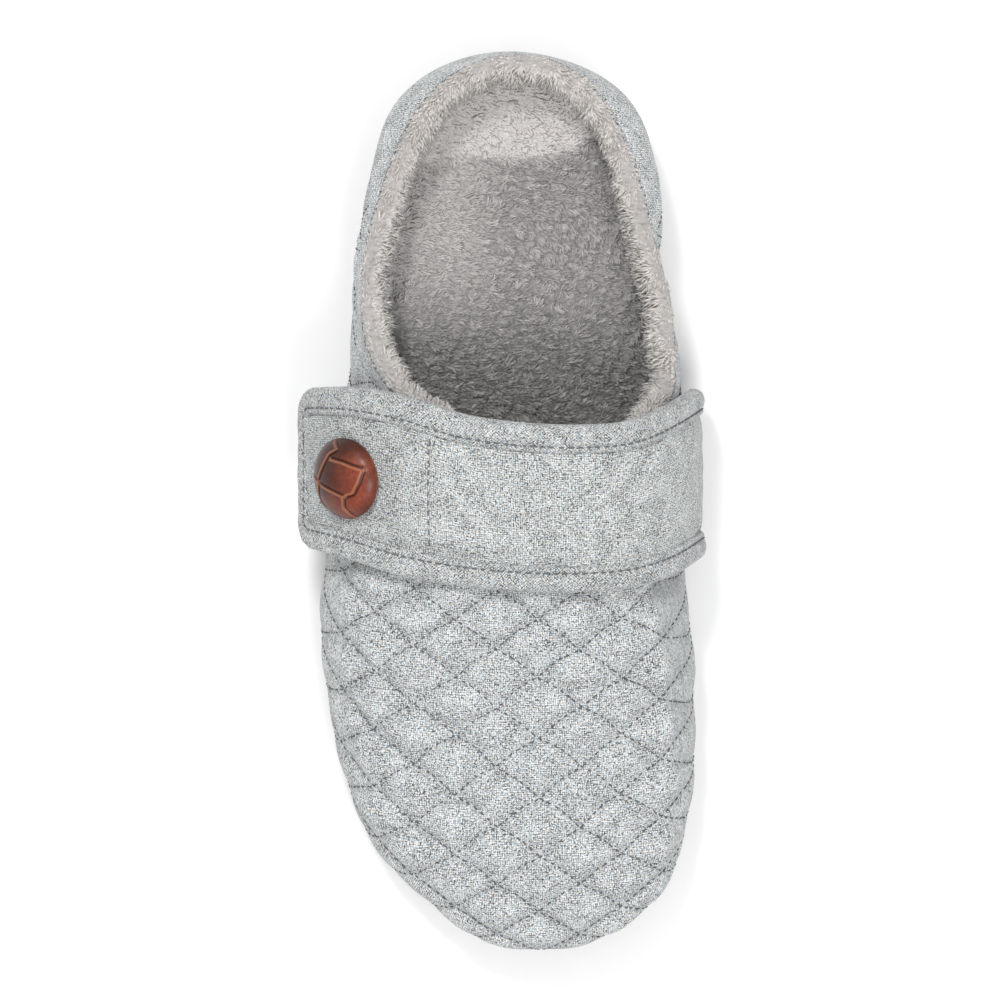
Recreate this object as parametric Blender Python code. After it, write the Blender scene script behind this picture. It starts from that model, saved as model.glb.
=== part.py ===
# Right-foot clog slipper with a quilted upper, a buttoned instep strap and a plush collar.
# Toe to -Y, heel to +Y, medial side to +X, floor at Z = 0. Metres throughout.

import bmesh
import bpy
import numpy as np

# Overall sizes
LENGTH = 0.265
BALL_WIDTH = 0.109
INSTEP_HEIGHT = 0.077
WALL = 0.0028
GAP = 0.0003

# Sole
SOLE_HEEL_TOP = 0.0205
ARCH_RISE = 0.003
TOE_SPRING = 0.008
HEEL_BEVEL = 0.0025
SOLE_LEDGE = 0.0012
SOLE_GROOVE_DEPTH = 0.0014
SOLE_BOTTOM_BEVEL = 0.0030
FOREFOOT_FLAT = (0.57, 0.78)
HEEL_FLAT = (0.07, 0.29)
LUG_GROOVE_WIDTH = 0.0035
LUG_GROOVE_DEPTH = 0.0024
LUG_GROOVES = (0.125, 0.185, 0.245, 0.60, 0.645, 0.69, 0.735, 0.78, 0.825)
LUG_GROOVE_REACH = 0.62
LUG_GROOVE_MIDDLE = 0.064
FOREFOOT_GROOVE_BOW = 0.0060
HEEL_GROOVE_BOW = -0.0040
SOLE_SIDE_STEP = 0.0004
CUTTER_DEPTH = 0.010

# Upper
FEATHER_TUCK = 0.0020
WIDEST_ABOVE_SOLE = 0.010
WIDEST_SHARE = 0.16
SECTION_WIDTH_POWER = 2.35
SECTION_HEIGHT_POWER = 1.9
TOE_CAP_LENGTH = 0.17
TOE_CAP_POWER = 2.3
HEEL_EDGE_INSET = 0.0018
OPENING_LENGTH = 0.1217
COLLAR_HEIGHT = 0.050

# Insole
INSOLE_THICKNESS = 0.0075
INSOLE_CLEARANCE = 0.0013
INSOLE_EDGE_ROUND = 0.0025
INSOLE_CUP = 0.0018
HEEL_CUP_RISE = 0.0070
HEEL_CUP_FOOT = 0.355
HEEL_CUP_TOP = 0.475

# Collar cuff
CUFF_WIDTH = 0.0068
CUFF_DROP = 0.0130
CUFF_RISE = 0.0050
LOCK_DEPTH = 0.0010

# Strap
STRAP_THICKNESS = 0.0026
STRAP_CLEARANCE = 0.0024
STRAP_REACH = 0.0588
STRAP_CREST_X = 0.020
STRAP_LATERAL_LOW = 0.020
STRAP_MEDIAL_LOW = 0.0165
STRAP_POWER = 2.2
STRAP_START_ANGLE = 12.0
STRAP_BACK_HUG = 0.0009
STRAP_HALF_WIDTH = 0.0250
STRAP_CORNER = 0.0095
BINDING_WIDTH = 0.0082
BINDING_CLOTH = 0.0009
BINDING_ROUND = 0.0010
BINDING_SHOULDER = 0.0004

# Button
BUTTON_DIAMETER = 0.0240
BUTTON_HEIGHT = 0.0078
BUTTON_STEP = 0.0006
BUTTON_ACROSS = -0.740
BUTTON_ALONG = 0.0253
BUTTON_SIDES = 28
BUTTON_PANELS = 4

# Mesh steps
AROUND = 72
UPPER_ROWS = 15
CUFF_AROUND = 108
STRAP_ROWS = 25
STRAP_COLUMNS = 6

# Outline, as shares of the ball width. Each half is its share times the sine of the outline angle.
OUTLINE = np.array([
    # station, lateral, medial, midline
    (0.00, 0.725, 0.716, 0.028),
    (0.04, 0.688, 0.705, 0.028),
    (0.12, 0.573, 0.596, 0.028),
    (0.22, 0.515, 0.478, 0.040),
    (0.35, 0.526, 0.414, 0.087),
    (0.50, 0.574, 0.370, 0.117),
    (0.62, 0.616, 0.403, 0.114),
    (0.72, 0.646, 0.463, 0.107),
    (0.80, 0.661, 0.523, 0.104),
    (0.88, 0.682, 0.601, 0.101),
    (0.94, 0.624, 0.684, 0.101),
    (1.00, 0.630, 0.755, 0.101),
])

# Side view, as shares: the sole's top of SOLE_HEEL_TOP, the crest's height of INSTEP_HEIGHT, its place of
# BALL_WIDTH.
SIDE = np.array([
    # station, sole_top, crest_height, crest_place
    (0.00, 1.02, 1.08, 0.046),
    (0.12, 1.00, 1.08, 0.055),
    (0.28, 0.95, 1.08, 0.110),
    (0.40, 0.83, 1.03, 0.170),
    (0.46, 0.74, 0.985, 0.183),
    (0.54, 0.63, 0.895, 0.170),
    (0.64, 0.55, 0.775, 0.148),
    (0.74, 0.51, 0.680, 0.125),
    (0.84, 0.53, 0.615, 0.110),
    (0.92, 0.61, 0.580, 0.101),
    (1.00, 0.76, 0.570, 0.101),
])

# Opening edge, as shares of the ball width, and its height as shares of COLLAR_HEIGHT.
OPENING = np.array([
    # station, lateral, medial, midline, height
    (0.00, 0.420, 0.420, 0.043, 1.00),
    (0.10, 0.397, 0.388, 0.037, 0.98),
    (0.22, 0.386, 0.373, 0.037, 0.93),
    (0.34, 0.388, 0.372, 0.037, 0.89),
    (0.47, 0.411, 0.381, 0.042, 0.90),
    (0.59, 0.436, 0.412, 0.050, 0.97),
    (0.71, 0.476, 0.441, 0.069, 1.09),
    (0.83, 0.514, 0.481, 0.101, 1.25),
    (1.00, 0.520, 0.470, 0.183, 1.50),
])

# Which point of the opening's edge each point of the outline runs up to, in degrees from the heel.
SPOKES = np.array([
    # outline, opening
    (0.0, 0.0),
    (30.0, 44.5),
    (45.0, 67.0),
    (60.0, 93.0),
    (72.0, 114.0),
    (84.0, 131.0),
    (98.0, 145.0),
    (115.0, 156.0),
    (140.0, 168.0),
    (180.0, 180.0),
])
WALL_ENDS = 50.0
VAMP_STARTS = 88.0

# Strap edges in plan: across as shares of STRAP_REACH, edges as shares of LENGTH.
STRAP_EDGES = np.array([
    # across, back, front
    (-1.00, 0.1245, -0.052),
    (-0.77, 0.1245, -0.066),
    (-0.50, 0.1150, -0.085),
    (-0.22, 0.0950, -0.0955),
    (0.20, 0.0825, -0.1025),
    (0.40, 0.0815, -0.1025),
    (0.69, 0.0895, -0.0960),
    (0.87, 0.1085, -0.0830),
    (1.00, 0.1270, -0.0660),
])

# Cuff section: inwards as shares of CUFF_WIDTH, upwards as shares of CUFF_RISE or, below the edge, of
# CUFF_DROP.
CUFF_SECTION = (
    # inward, upward, lock
    (0.04, 0.19, 0.0),
    (0.10, 0.62, 0.4),
    (0.34, 1.00, 0.8),
    (0.64, 0.98, 1.0),
    (0.88, 0.55, 1.0),
    (1.00, -0.15, 1.0),
    (0.99, -0.52, 1.0),
    (0.90, -0.86, 0.7),
    (0.75, -1.00, 0.2),
    (0.62, -0.88, 0.0),
    (0.56, -0.40, 0.0),
    (0.53, 0.19, 0.0),
)
CUFF_SPINE = 0.3

# Button section: its radius as shares of half the diameter, its height as shares of BUTTON_HEIGHT.
BUTTON_SECTION = (
    # radius, height
    (0.72, 0.00),
    (0.93, 0.10),
    (1.00, 0.33),
    (0.95, 0.56),
    (0.84, 0.74),
    (0.66, 0.87),
    (0.45, 0.92),
    (0.22, 0.97),
)


def column(table, number, at):
    """A smooth curve through one column of a table, over its first column."""
    places = table[:, 0]
    values = table[:, number]
    slopes = np.gradient(values, places)
    at = np.clip(np.asarray(at, float), places[0], places[-1])
    low = np.clip(np.searchsorted(places, at) - 1, 0, len(places) - 2)
    step = places[low + 1] - places[low]
    t = (at - places[low]) / step
    start = (2 * t**3 - 3 * t**2 + 1) * values[low] + (t**3 - 2 * t**2 + t) * step * slopes[low]
    end = (3 * t**2 - 2 * t**3) * values[low + 1] + (t**3 - t**2) * step * slopes[low + 1]
    return start + end


def smooth(low, high, at):
    t = np.clip((np.asarray(at, float) - low) / (high - low), 0.0, 1.0)
    return t * t * (3 - 2 * t)


def station_of(y):
    return np.clip((LENGTH / 2 - np.asarray(y, float)) / LENGTH, 0.0, 1.0)


def outline_x(station, lateral):
    """Plan place of the outline on one side at a station."""
    sine = 2 * np.sqrt(np.clip(station * (1 - station), 0.0, None))
    half = np.where(lateral, -column(OUTLINE, 1, station), column(OUTLINE, 2, station))
    return BALL_WIDTH * (column(OUTLINE, 3, station) + half * sine)


def outline(angle, inset=0.0):
    """Plan points of the outline, moved inwards; the angle runs from the heel over the lateral side."""
    def raw(a):
        station = (1 - np.cos(a)) / 2
        return np.stack([outline_x(station, np.sin(a) >= 0), LENGTH / 2 - LENGTH * station], axis=-1)
    angle = np.asarray(angle, float)
    points = raw(angle)
    delta = 1e-3
    run = raw(angle + delta) - raw(angle - delta)
    run /= np.linalg.norm(run, axis=-1, keepdims=True)
    inward = np.stack([-run[..., 1], run[..., 0]], axis=-1)
    return points + inward * np.asarray(inset)[..., None]


def opening(angle):
    """Points of the upper's top edge round the opening."""
    station = (1 - np.cos(angle)) / 2
    half = np.where(np.sin(angle) >= 0, -column(OPENING, 1, station), column(OPENING, 2, station))
    x = BALL_WIDTH * (column(OPENING, 3, station) + half * np.abs(np.sin(angle)))
    y = LENGTH / 2 - HEEL_EDGE_INSET - OPENING_LENGTH * station
    return x, y, COLLAR_HEIGHT * column(OPENING, 4, station)


def sole_top(station):
    return SOLE_HEEL_TOP * column(SIDE, 1, station)


def sole_bottom(station):
    station = np.asarray(station, float)
    arch = np.clip((station - HEEL_FLAT[1]) / (FOREFOOT_FLAT[0] - HEEL_FLAT[1]), 0.0, 1.0)
    toe = np.clip((station - FOREFOOT_FLAT[1]) / (1 - FOREFOOT_FLAT[1]), 0.0, 1.0)
    heel = np.clip((HEEL_FLAT[0] - station) / HEEL_FLAT[0], 0.0, 1.0)
    return ARCH_RISE * np.sin(np.pi * arch) ** 2 + TOE_SPRING * toe**2 + HEEL_BEVEL * heel**2


def widest_height(station):
    return sole_top(station) + WIDEST_ABOVE_SOLE


def crest_height(station):
    low = widest_height(station)
    ahead = np.clip((1 - np.asarray(station, float)) / TOE_CAP_LENGTH, 0.0, 1.0)
    cap = (1 - (1 - ahead) ** TOE_CAP_POWER) ** (1 / SECTION_HEIGHT_POWER)
    return low + (INSTEP_HEIGHT * column(SIDE, 2, station) - low) * cap


def dome(x, y):
    """Height of the foot's form over a plan point, from the widest line up to the crest."""
    station = station_of(y)
    crest_x = BALL_WIDTH * column(SIDE, 3, station)
    reach = np.abs(outline_x(station, x < crest_x) - crest_x)
    across = np.clip(np.abs(x - crest_x) / np.maximum(reach, 1e-6), 0.0, 1.0)
    share = (1 - across**SECTION_WIDTH_POWER) ** (1 / SECTION_HEIGHT_POWER)
    low = widest_height(station)
    return low + (crest_height(station) - low) * share


def upper_point(angle, share):
    """Outer face of the upper: the angle goes round from the heel, the share from the sole to the opening."""
    angle, share = np.broadcast_arrays(np.asarray(angle, float), np.asarray(share, float))
    turn = np.degrees(np.abs((angle + np.pi) % (2 * np.pi) - np.pi))
    side = np.where(np.sin(angle) >= 0, 1.0, -1.0)
    edge_x, edge_y, edge_z = opening(side * np.radians(column(SPOKES, 1, turn)))
    below = np.clip(1 - share / WIDEST_SHARE, 0.0, 1.0)
    above = np.clip((share - WIDEST_SHARE) / (1 - WIDEST_SHARE), 0.0, 1.0)
    foot = outline(angle, FEATHER_TUCK * below**2)
    vamp = smooth(WALL_ENDS, VAMP_STARTS, turn)
    along = above ** (2.0 - 0.2 * vamp)
    x = foot[..., 0] + (edge_x - foot[..., 0]) * along
    y = foot[..., 1] + (edge_y - foot[..., 1]) * along
    foot_station = (1 - np.cos(angle)) / 2
    low = widest_height(foot_station)
    wall_z = low + (edge_z - low) * above
    z = wall_z + (dome(x, y) - wall_z) * vamp
    floor_z = sole_top(foot_station) + GAP
    z = np.where(above > 0, z, low + (floor_z - low) * below)
    return np.stack([x, y, z], axis=-1)


def inward_normals(function, first, second, step=1e-3):
    """Unit normals of a surface by differences of its two parameters."""
    one = function(first + step, second) - function(first - step, second)
    two = function(first, np.clip(second + step, 0, 1)) - function(first, np.clip(second - step, 0, 1))
    normal = np.cross(one, two)
    return normal / np.linalg.norm(normal, axis=-1, keepdims=True)


def upper_inner(angle, share, depth):
    angle, share = np.broadcast_arrays(np.asarray(angle, float), np.asarray(share, float))
    return upper_point(angle, share) - depth * inward_normals(upper_point, angle, share)


def spoke_of(opened):
    """The outline angle whose spoke ends at an angle round the opening."""
    turn = np.degrees(np.abs((opened + np.pi) % (2 * np.pi) - np.pi))
    degrees = np.linspace(0, 180, 361)
    found = np.radians(np.interp(turn, column(SPOKES, 1, degrees), degrees))
    return np.where(np.sin(opened) >= 0, found, -found)


def heel_cup(y):
    """How far the footbed climbs the heel's wall."""
    return HEEL_CUP_RISE * smooth(HEEL_CUP_FOOT * LENGTH, HEEL_CUP_TOP * LENGTH, y)


def material(name, colour, roughness):
    made = bpy.data.materials.new(name)
    made.use_nodes = True
    shader = made.node_tree.nodes["Principled BSDF"]
    shader.inputs["Base Color"].default_value = (*colour, 1.0)
    shader.inputs["Roughness"].default_value = roughness
    shader.inputs["Metallic"].default_value = 0.0
    made.diffuse_color = (*colour, 1.0)
    return made


def solid(name, points, faces, group, look):
    mesh = bpy.data.meshes.new(name)
    mesh.from_pydata(np.asarray(points, float).reshape(-1, 3).tolist(), [], faces)
    work = bmesh.new()
    work.from_mesh(mesh)
    bmesh.ops.recalc_face_normals(work, faces=work.faces)
    work.to_mesh(mesh)
    work.free()
    mesh.shade_smooth()
    made = bpy.data.objects.new(name, mesh)
    group.objects.link(made)
    if look is not None:
        mesh.materials.append(look)
    return made


def band(rows, columns, start=0, closed=True):
    """Faces between neighbouring rows of one grid of points."""
    found = []
    last = columns if closed else columns - 1
    for row in range(rows - 1):
        for place in range(last):
            near = start + row * columns
            after = (place + 1) % columns
            found.append((near + place, near + after, near + columns + after, near + columns + place))
    return found


def tube(name, rings, group, look, closed):
    """A solid swept from equal rings, joined end to start, or with its two ends filled."""
    rings = np.asarray(rings)
    rows, columns = rings.shape[:2]
    faces = band(rows, columns)
    if closed:
        for place in range(columns):
            after = (place + 1) % columns
            faces.append(((rows - 1) * columns + place, (rows - 1) * columns + after, after, place))
    else:
        faces.append(tuple(range(columns)))
        faces.append(tuple((rows - 1) * columns + place for place in range(columns)))
    return solid(name, rings, faces, group, look)


def cap_faces(start):
    """Faces across a ring of AROUND points, from one side to the other at equal stations."""
    found = [(start, start + 1, start + AROUND - 1)]
    for place in range(1, AROUND // 2 - 1):
        found.append((start + place, start + place + 1, start + AROUND - place - 1, start + AROUND - place))
    middle = AROUND // 2
    found.append((start + middle - 1, start + middle, start + middle + 1))
    return found


def make_outsole(group, cutters, look):
    angles = np.linspace(0, 2 * np.pi, AROUND, endpoint=False)
    station = (1 - np.cos(angles)) / 2
    top = sole_top(station)
    bottom = sole_bottom(station)
    height = top - bottom
    levels = (
        # inset, share of the height
        (SOLE_LEDGE, 1.00),
        (SOLE_LEDGE, 0.66),
        (SOLE_LEDGE + SOLE_GROOVE_DEPTH, 0.60),
        (SOLE_LEDGE + SOLE_GROOVE_DEPTH, 0.50),
        (SOLE_LEDGE, 0.44),
        (SOLE_LEDGE + SOLE_SIDE_STEP, 0.20),
        (SOLE_LEDGE + SOLE_BOTTOM_BEVEL, 0.00),
    )
    rings = []
    for inset, share in levels:
        plan = outline(angles, np.full(AROUND, inset))
        rings.append(np.column_stack([plan, bottom + height * share]))
    faces = band(len(levels), AROUND) + cap_faces(0) + cap_faces((len(levels) - 1) * AROUND)
    sole = solid("outsole", np.concatenate(rings), faces, group, look)
    corners = []
    walls = []
    places = np.linspace(-1, 1, 7)
    for groove in LUG_GROOVES:
        middle = LENGTH / 2 - LENGTH * groove
        ceiling = float(sole_bottom(groove)) + LUG_GROOVE_DEPTH
        bow = FOREFOOT_GROOVE_BOW if groove > 0.5 else HEEL_GROOVE_BOW
        start = len(corners)
        for place in places:
            x = BALL_WIDTH * (LUG_GROOVE_MIDDLE + LUG_GROOVE_REACH * place)
            low_y = middle + bow * place**2 - LUG_GROOVE_WIDTH / 2
            high_y = low_y + LUG_GROOVE_WIDTH
            corners += [(x, low_y, -CUTTER_DEPTH), (x, high_y, -CUTTER_DEPTH)]
            corners += [(x, high_y, ceiling), (x, low_y, ceiling)]
        walls += band(len(places), 4, start)
        walls.append(tuple(range(start, start + 4)))
        walls.append(tuple(range(len(corners) - 4, len(corners))))
    cutter = solid("lug_grooves", corners, walls, cutters, None)
    cutter.hide_render = True
    cutter.display_type = "WIRE"
    cut = sole.modifiers.new("lug_grooves", "BOOLEAN")
    cut.operation = "DIFFERENCE"
    cut.solver = "EXACT"
    cut.object = cutter
    return sole


def make_insole(group, look):
    angles = np.linspace(0, 2 * np.pi, AROUND, endpoint=False)
    floor = sole_top((1 - np.cos(angles)) / 2) + GAP
    inset = FEATHER_TUCK + WALL + INSOLE_CLEARANCE
    levels = (
        # inset, height
        (inset, 0.0),
        (inset, INSOLE_THICKNESS - INSOLE_EDGE_ROUND),
        (inset + 0.3 * INSOLE_EDGE_ROUND, INSOLE_THICKNESS - 0.3 * INSOLE_EDGE_ROUND),
        (inset + INSOLE_EDGE_ROUND, INSOLE_THICKNESS),
    )
    points = []
    for depth, height in levels:
        plan = outline(angles, np.full(AROUND, depth))
        cup = heel_cup(plan[:, 1]) if height > 0 else 0.0
        points += np.column_stack([plan, floor + height + cup]).tolist()
    faces = band(len(levels), AROUND) + cap_faces(0)
    edge = (len(levels) - 1) * AROUND
    ladder = []
    for place in range(1, AROUND // 2):
        one = np.array(points[edge + place])
        other = np.array(points[edge + AROUND - place])
        rung = [edge + place]
        for share in (0.25, 0.5, 0.75):
            rung.append(len(points))
            points.append(one + (other - one) * share - (0, 0, INSOLE_CUP * 4 * share * (1 - share)))
        ladder.append(rung + [edge + AROUND - place])
    for one, two in zip(ladder[:-1], ladder[1:]):
        for number in range(len(one) - 1):
            faces.append((one[number], one[number + 1], two[number + 1], two[number]))
    for tip, rung in ((edge, ladder[0]), (edge + AROUND // 2, ladder[-1])):
        for number in range(len(rung) - 1):
            faces.append((tip, rung[number], rung[number + 1]))
    return solid("insole", points, faces, group, look)


def make_upper(group, look):
    angles = np.linspace(0, 2 * np.pi, AROUND, endpoint=False)
    low = np.linspace(0, WIDEST_SHARE, 4)[:-1]
    high = np.linspace(WIDEST_SHARE, 1, UPPER_ROWS - 3)
    shares = np.concatenate([low, high])
    grid_angles, grid_shares = np.meshgrid(angles, shares)
    outer = upper_point(grid_angles, grid_shares)
    inner = upper_inner(grid_angles, grid_shares, WALL)
    floor = sole_top(station_of(inner[0, :, 1])) + GAP
    inner[0, :, 2] = floor
    points = np.concatenate([outer.reshape(-1, 3), inner.reshape(-1, 3)])
    count = len(shares) * AROUND
    faces = band(len(shares), AROUND) + band(len(shares), AROUND, count)
    top = count - AROUND
    for place in range(AROUND):
        after = (place + 1) % AROUND
        faces.append((place, after, count + after, count + place))
        faces.append((top + place, top + after, count + top + after, count + top + place))
    return solid("upper", points, faces, group, look)


def cuff_point(angle, inwards, upwards):
    """A point by the upper's top edge: inwards from its outer face, and over the edge or down the wall."""
    shares = np.linspace(0.4, 1.0, 61)
    spoke = upper_point(np.full_like(shares, angle), shares)
    run = np.concatenate([[0.0], np.cumsum(np.linalg.norm(np.diff(spoke, axis=0), axis=1))])
    share = float(np.interp(run[-1] + min(upwards, 0.0), run, shares))
    at = upper_point(angle, share)
    inward = -inward_normals(upper_point, angle, share)
    up = spoke[-1] - spoke[-2]
    up /= np.linalg.norm(up)
    return at + inward * inwards + up * max(upwards, 0.0)


def make_cuff(group, look):
    angles = spoke_of(np.linspace(0, 2 * np.pi, CUFF_AROUND, endpoint=False))
    chance = np.random.default_rng(7)
    rings = []
    for place in range(CUFF_AROUND):
        tuft = LOCK_DEPTH * ((1.0 if place % 2 else -0.35) + 0.35 * chance.uniform(-1, 1))
        ring = []
        for inwards, upwards, lock in CUFF_SECTION:
            out = np.array([inwards - CUFF_SPINE, upwards])
            out *= tuft * lock / np.linalg.norm(out)
            rise = upwards * (CUFF_RISE if upwards > 0 else CUFF_DROP)
            ring.append(cuff_point(angles[place], inwards * CUFF_WIDTH + out[0], rise + out[1]))
        rings.append(ring)
    return tube("collar_cuff", rings, group, look, True)


def strap_surface(angle, share):
    """Outer face of the strap: the angle runs from lateral over to medial, the share from back to front."""
    angle, share = np.broadcast_arrays(np.asarray(angle, float), np.asarray(share, float))
    start = abs(np.cos(np.radians(STRAP_START_ANGLE))) ** (2 / STRAP_POWER)
    lateral = np.cos(angle) > 0
    hug = STRAP_BACK_HUG * np.clip(1 - 2 * share, 0.0, None) ** 3
    reach = np.where(lateral, (STRAP_REACH + STRAP_CREST_X) / start, STRAP_REACH - STRAP_CREST_X - hug)
    width = np.abs(np.cos(angle)) ** (2 / STRAP_POWER)
    x = STRAP_CREST_X + np.where(lateral, -1.0, 1.0) * reach * width
    across = x / STRAP_REACH
    back = LENGTH * column(STRAP_EDGES, 1, across)
    front = LENGTH * column(STRAP_EDGES, 2, across)
    y = back + (front - back) * share
    crest = crest_height(station_of(y)) + STRAP_CLEARANCE + STRAP_THICKNESS
    low = np.where(lateral, STRAP_LATERAL_LOW, STRAP_MEDIAL_LOW)
    rise = np.abs(np.sin(angle)) ** (2 / STRAP_POWER)
    z = low + (crest - low) * rise
    return np.stack([x, y, z], axis=-1)


def strap_angles():
    """Angle and length along the middle of the strap, measured from the lateral end."""
    angle = np.radians(np.linspace(STRAP_START_ANGLE, 180.0, 400))
    middle = strap_surface(angle, np.full_like(angle, 0.5))
    run = np.concatenate([[0.0], np.cumsum(np.linalg.norm(np.diff(middle, axis=0), axis=1))])
    return angle, run


STRAP_ANGLE, STRAP_RUN = strap_angles()
STRAP_END = STRAP_RUN[-1]


def strap_point(along, aside, lift):
    """A point over the strap: its length along, its distance aside of the middle, its height over the face."""
    along, aside = np.broadcast_arrays(np.asarray(along, float), np.asarray(aside, float))
    angle = np.interp(along, STRAP_RUN, STRAP_ANGLE)
    share = 0.5 + aside / (2 * STRAP_HALF_WIDTH)
    at = strap_surface(angle, share)
    step = 2e-3
    high = np.minimum(angle + step, np.pi - 1e-4)
    one = strap_surface(high, share) - strap_surface(high - 2 * step, share)
    two = strap_surface(angle, share + step) - strap_surface(angle, share - step)
    normal = np.cross(two, one)
    normal /= np.linalg.norm(normal, axis=-1, keepdims=True)
    return at + normal * np.asarray(lift)[..., None]


def make_strap(group, look):
    edge = BINDING_CLOTH + GAP
    turn = np.radians(np.linspace(0, 90, 6))
    along = np.concatenate([
        edge + (STRAP_CORNER - edge) * (1 - np.cos(turn)),
        np.linspace(STRAP_CORNER, STRAP_END, STRAP_ROWS)[1:],
    ])
    corner = np.clip(STRAP_CORNER - along, 0.0, STRAP_CORNER - edge)
    half = STRAP_HALF_WIDTH - STRAP_CORNER + np.sqrt((STRAP_CORNER - edge) ** 2 - corner**2)
    places = np.linspace(-1, 1, STRAP_COLUMNS + 1)
    grid_along, grid_places = np.meshgrid(along, places, indexing="ij")
    aside = grid_places * half[:, None]
    outer = strap_point(grid_along, aside, np.zeros_like(aside))
    inner = strap_point(grid_along, aside, np.full_like(aside, -STRAP_THICKNESS))
    rings = [np.concatenate([outer[row], inner[row][::-1]]) for row in range(len(along))]
    return tube("strap", rings, group, look, False)


def binding_path():
    """Places along the strap's free outline, each with its direction towards the strap's middle."""
    straight = np.linspace(STRAP_END, STRAP_CORNER, STRAP_ROWS)
    turn = np.radians(np.linspace(0, 90, 6))[1:]
    flat = STRAP_HALF_WIDTH - STRAP_CORNER
    path = [(along, -STRAP_HALF_WIDTH, 0.0, 1.0) for along in straight]
    for angle in turn:
        path.append((
            STRAP_CORNER * (1 - np.sin(angle)),
            -flat - STRAP_CORNER * np.cos(angle),
            np.sin(angle),
            np.cos(angle),
        ))
    path += [(0.0, -flat * place, 1.0, 0.0) for place in (0.5, 0.0)]
    return path + [(along, -aside, one, -two) for along, aside, one, two in path[-3::-1]]


def make_binding(group, look):
    over = GAP + BINDING_CLOTH
    under = -STRAP_THICKNESS - over
    brim = BINDING_WIDTH - 0.9 * BINDING_CLOTH
    section = (
        # inwards from the edge, over the strap's face
        (BINDING_WIDTH, GAP),
        (brim, over),
        (BINDING_ROUND, over),
        (0.0, -BINDING_SHOULDER),
        (0.0, -STRAP_THICKNESS + BINDING_SHOULDER),
        (BINDING_ROUND, under),
        (brim, under),
        (BINDING_WIDTH, -STRAP_THICKNESS - GAP),
        (BINDING_CLOTH, -STRAP_THICKNESS - GAP),
        (BINDING_CLOTH, GAP),
    )
    rings = []
    for along, aside, one, two in binding_path():
        ring = [strap_point(along + one * depth, aside + two * depth, lift) for depth, lift in section]
        rings.append(ring)
    return tube("strap_binding", rings, group, look, False)


def button_frame():
    """The button's foot on the strap, with its outward, rightward and heelward directions."""
    x = BUTTON_ACROSS * STRAP_REACH
    start = abs(np.cos(np.radians(STRAP_START_ANGLE))) ** (2 / STRAP_POWER)
    angle = np.arccos(((STRAP_CREST_X - x) * start / (STRAP_REACH + STRAP_CREST_X)) ** (STRAP_POWER / 2))
    along = float(np.interp(angle, STRAP_ANGLE, STRAP_RUN))
    back = column(STRAP_EDGES, 1, BUTTON_ACROSS)
    front = column(STRAP_EDGES, 2, BUTTON_ACROSS)
    aside = float(((back - BUTTON_ALONG) / (back - front) - 0.5) * 2 * STRAP_HALF_WIDTH)
    foot = strap_point(along, aside, GAP)
    normal = strap_point(along, aside, 1.0) - strap_point(along, aside, 0.0)
    normal /= np.linalg.norm(normal)
    right = np.cross((0.0, 1.0, 0.0), normal)
    right /= np.linalg.norm(right)
    return foot, normal, right, np.cross(normal, right)


def make_button(group, look):
    foot, normal, right, ahead = button_frame()
    turns = 2 * np.pi * np.arange(BUTTON_SIDES) / BUTTON_SIDES
    points = []
    for level, (share, height) in enumerate(BUTTON_SECTION):
        for turn in turns:
            lap = 0.0
            if 2 < level < len(BUTTON_SECTION) - 1:
                lap = ((BUTTON_PANELS * turn / (2 * np.pi) + 0.35 * share) % 1.0) * BUTTON_STEP
            plan = (right * np.cos(turn) + ahead * np.sin(turn)) * share * BUTTON_DIAMETER / 2
            points.append(foot + plan + normal * (height * BUTTON_HEIGHT + lap))
    faces = band(len(BUTTON_SECTION), BUTTON_SIDES)
    points.append(foot)
    points.append(foot + normal * BUTTON_HEIGHT)
    last = (len(BUTTON_SECTION) - 1) * BUTTON_SIDES
    for place in range(BUTTON_SIDES):
        after = (place + 1) % BUTTON_SIDES
        faces.append((place, after, len(points) - 2))
        faces.append((last + place, last + after, len(points) - 1))
    return solid("button", points, faces, group, look)


def main():
    for old in list(bpy.data.objects):
        bpy.data.objects.remove(old, do_unlink=True)
    group = bpy.data.collections.new("scuff_slipper")
    cutters = bpy.data.collections.new("cutters")
    bpy.context.scene.collection.children.link(group)
    bpy.context.scene.collection.children.link(cutters)
    cutters.hide_render = True
    wool = material("heather_wool", (0.52, 0.55, 0.56), 0.95)
    edge = material("bias_wool", (0.46, 0.49, 0.50), 0.95)
    band_wool = material("strap_wool", (0.54, 0.57, 0.58), 0.95)
    pile = material("plush_pile", (0.42, 0.38, 0.35), 1.0)
    bed = material("plush_insole", (0.36, 0.33, 0.31), 1.0)
    rubber = material("grey_rubber", (0.16, 0.16, 0.17), 0.75)
    leather = material("brown_leather", (0.16, 0.045, 0.025), 0.35)
    make_outsole(group, cutters, rubber)
    make_insole(group, bed)
    make_upper(group, wool)
    make_cuff(group, pile)
    make_strap(group, band_wool)
    make_binding(group, edge)
    make_button(group, leather)


main()
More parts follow.
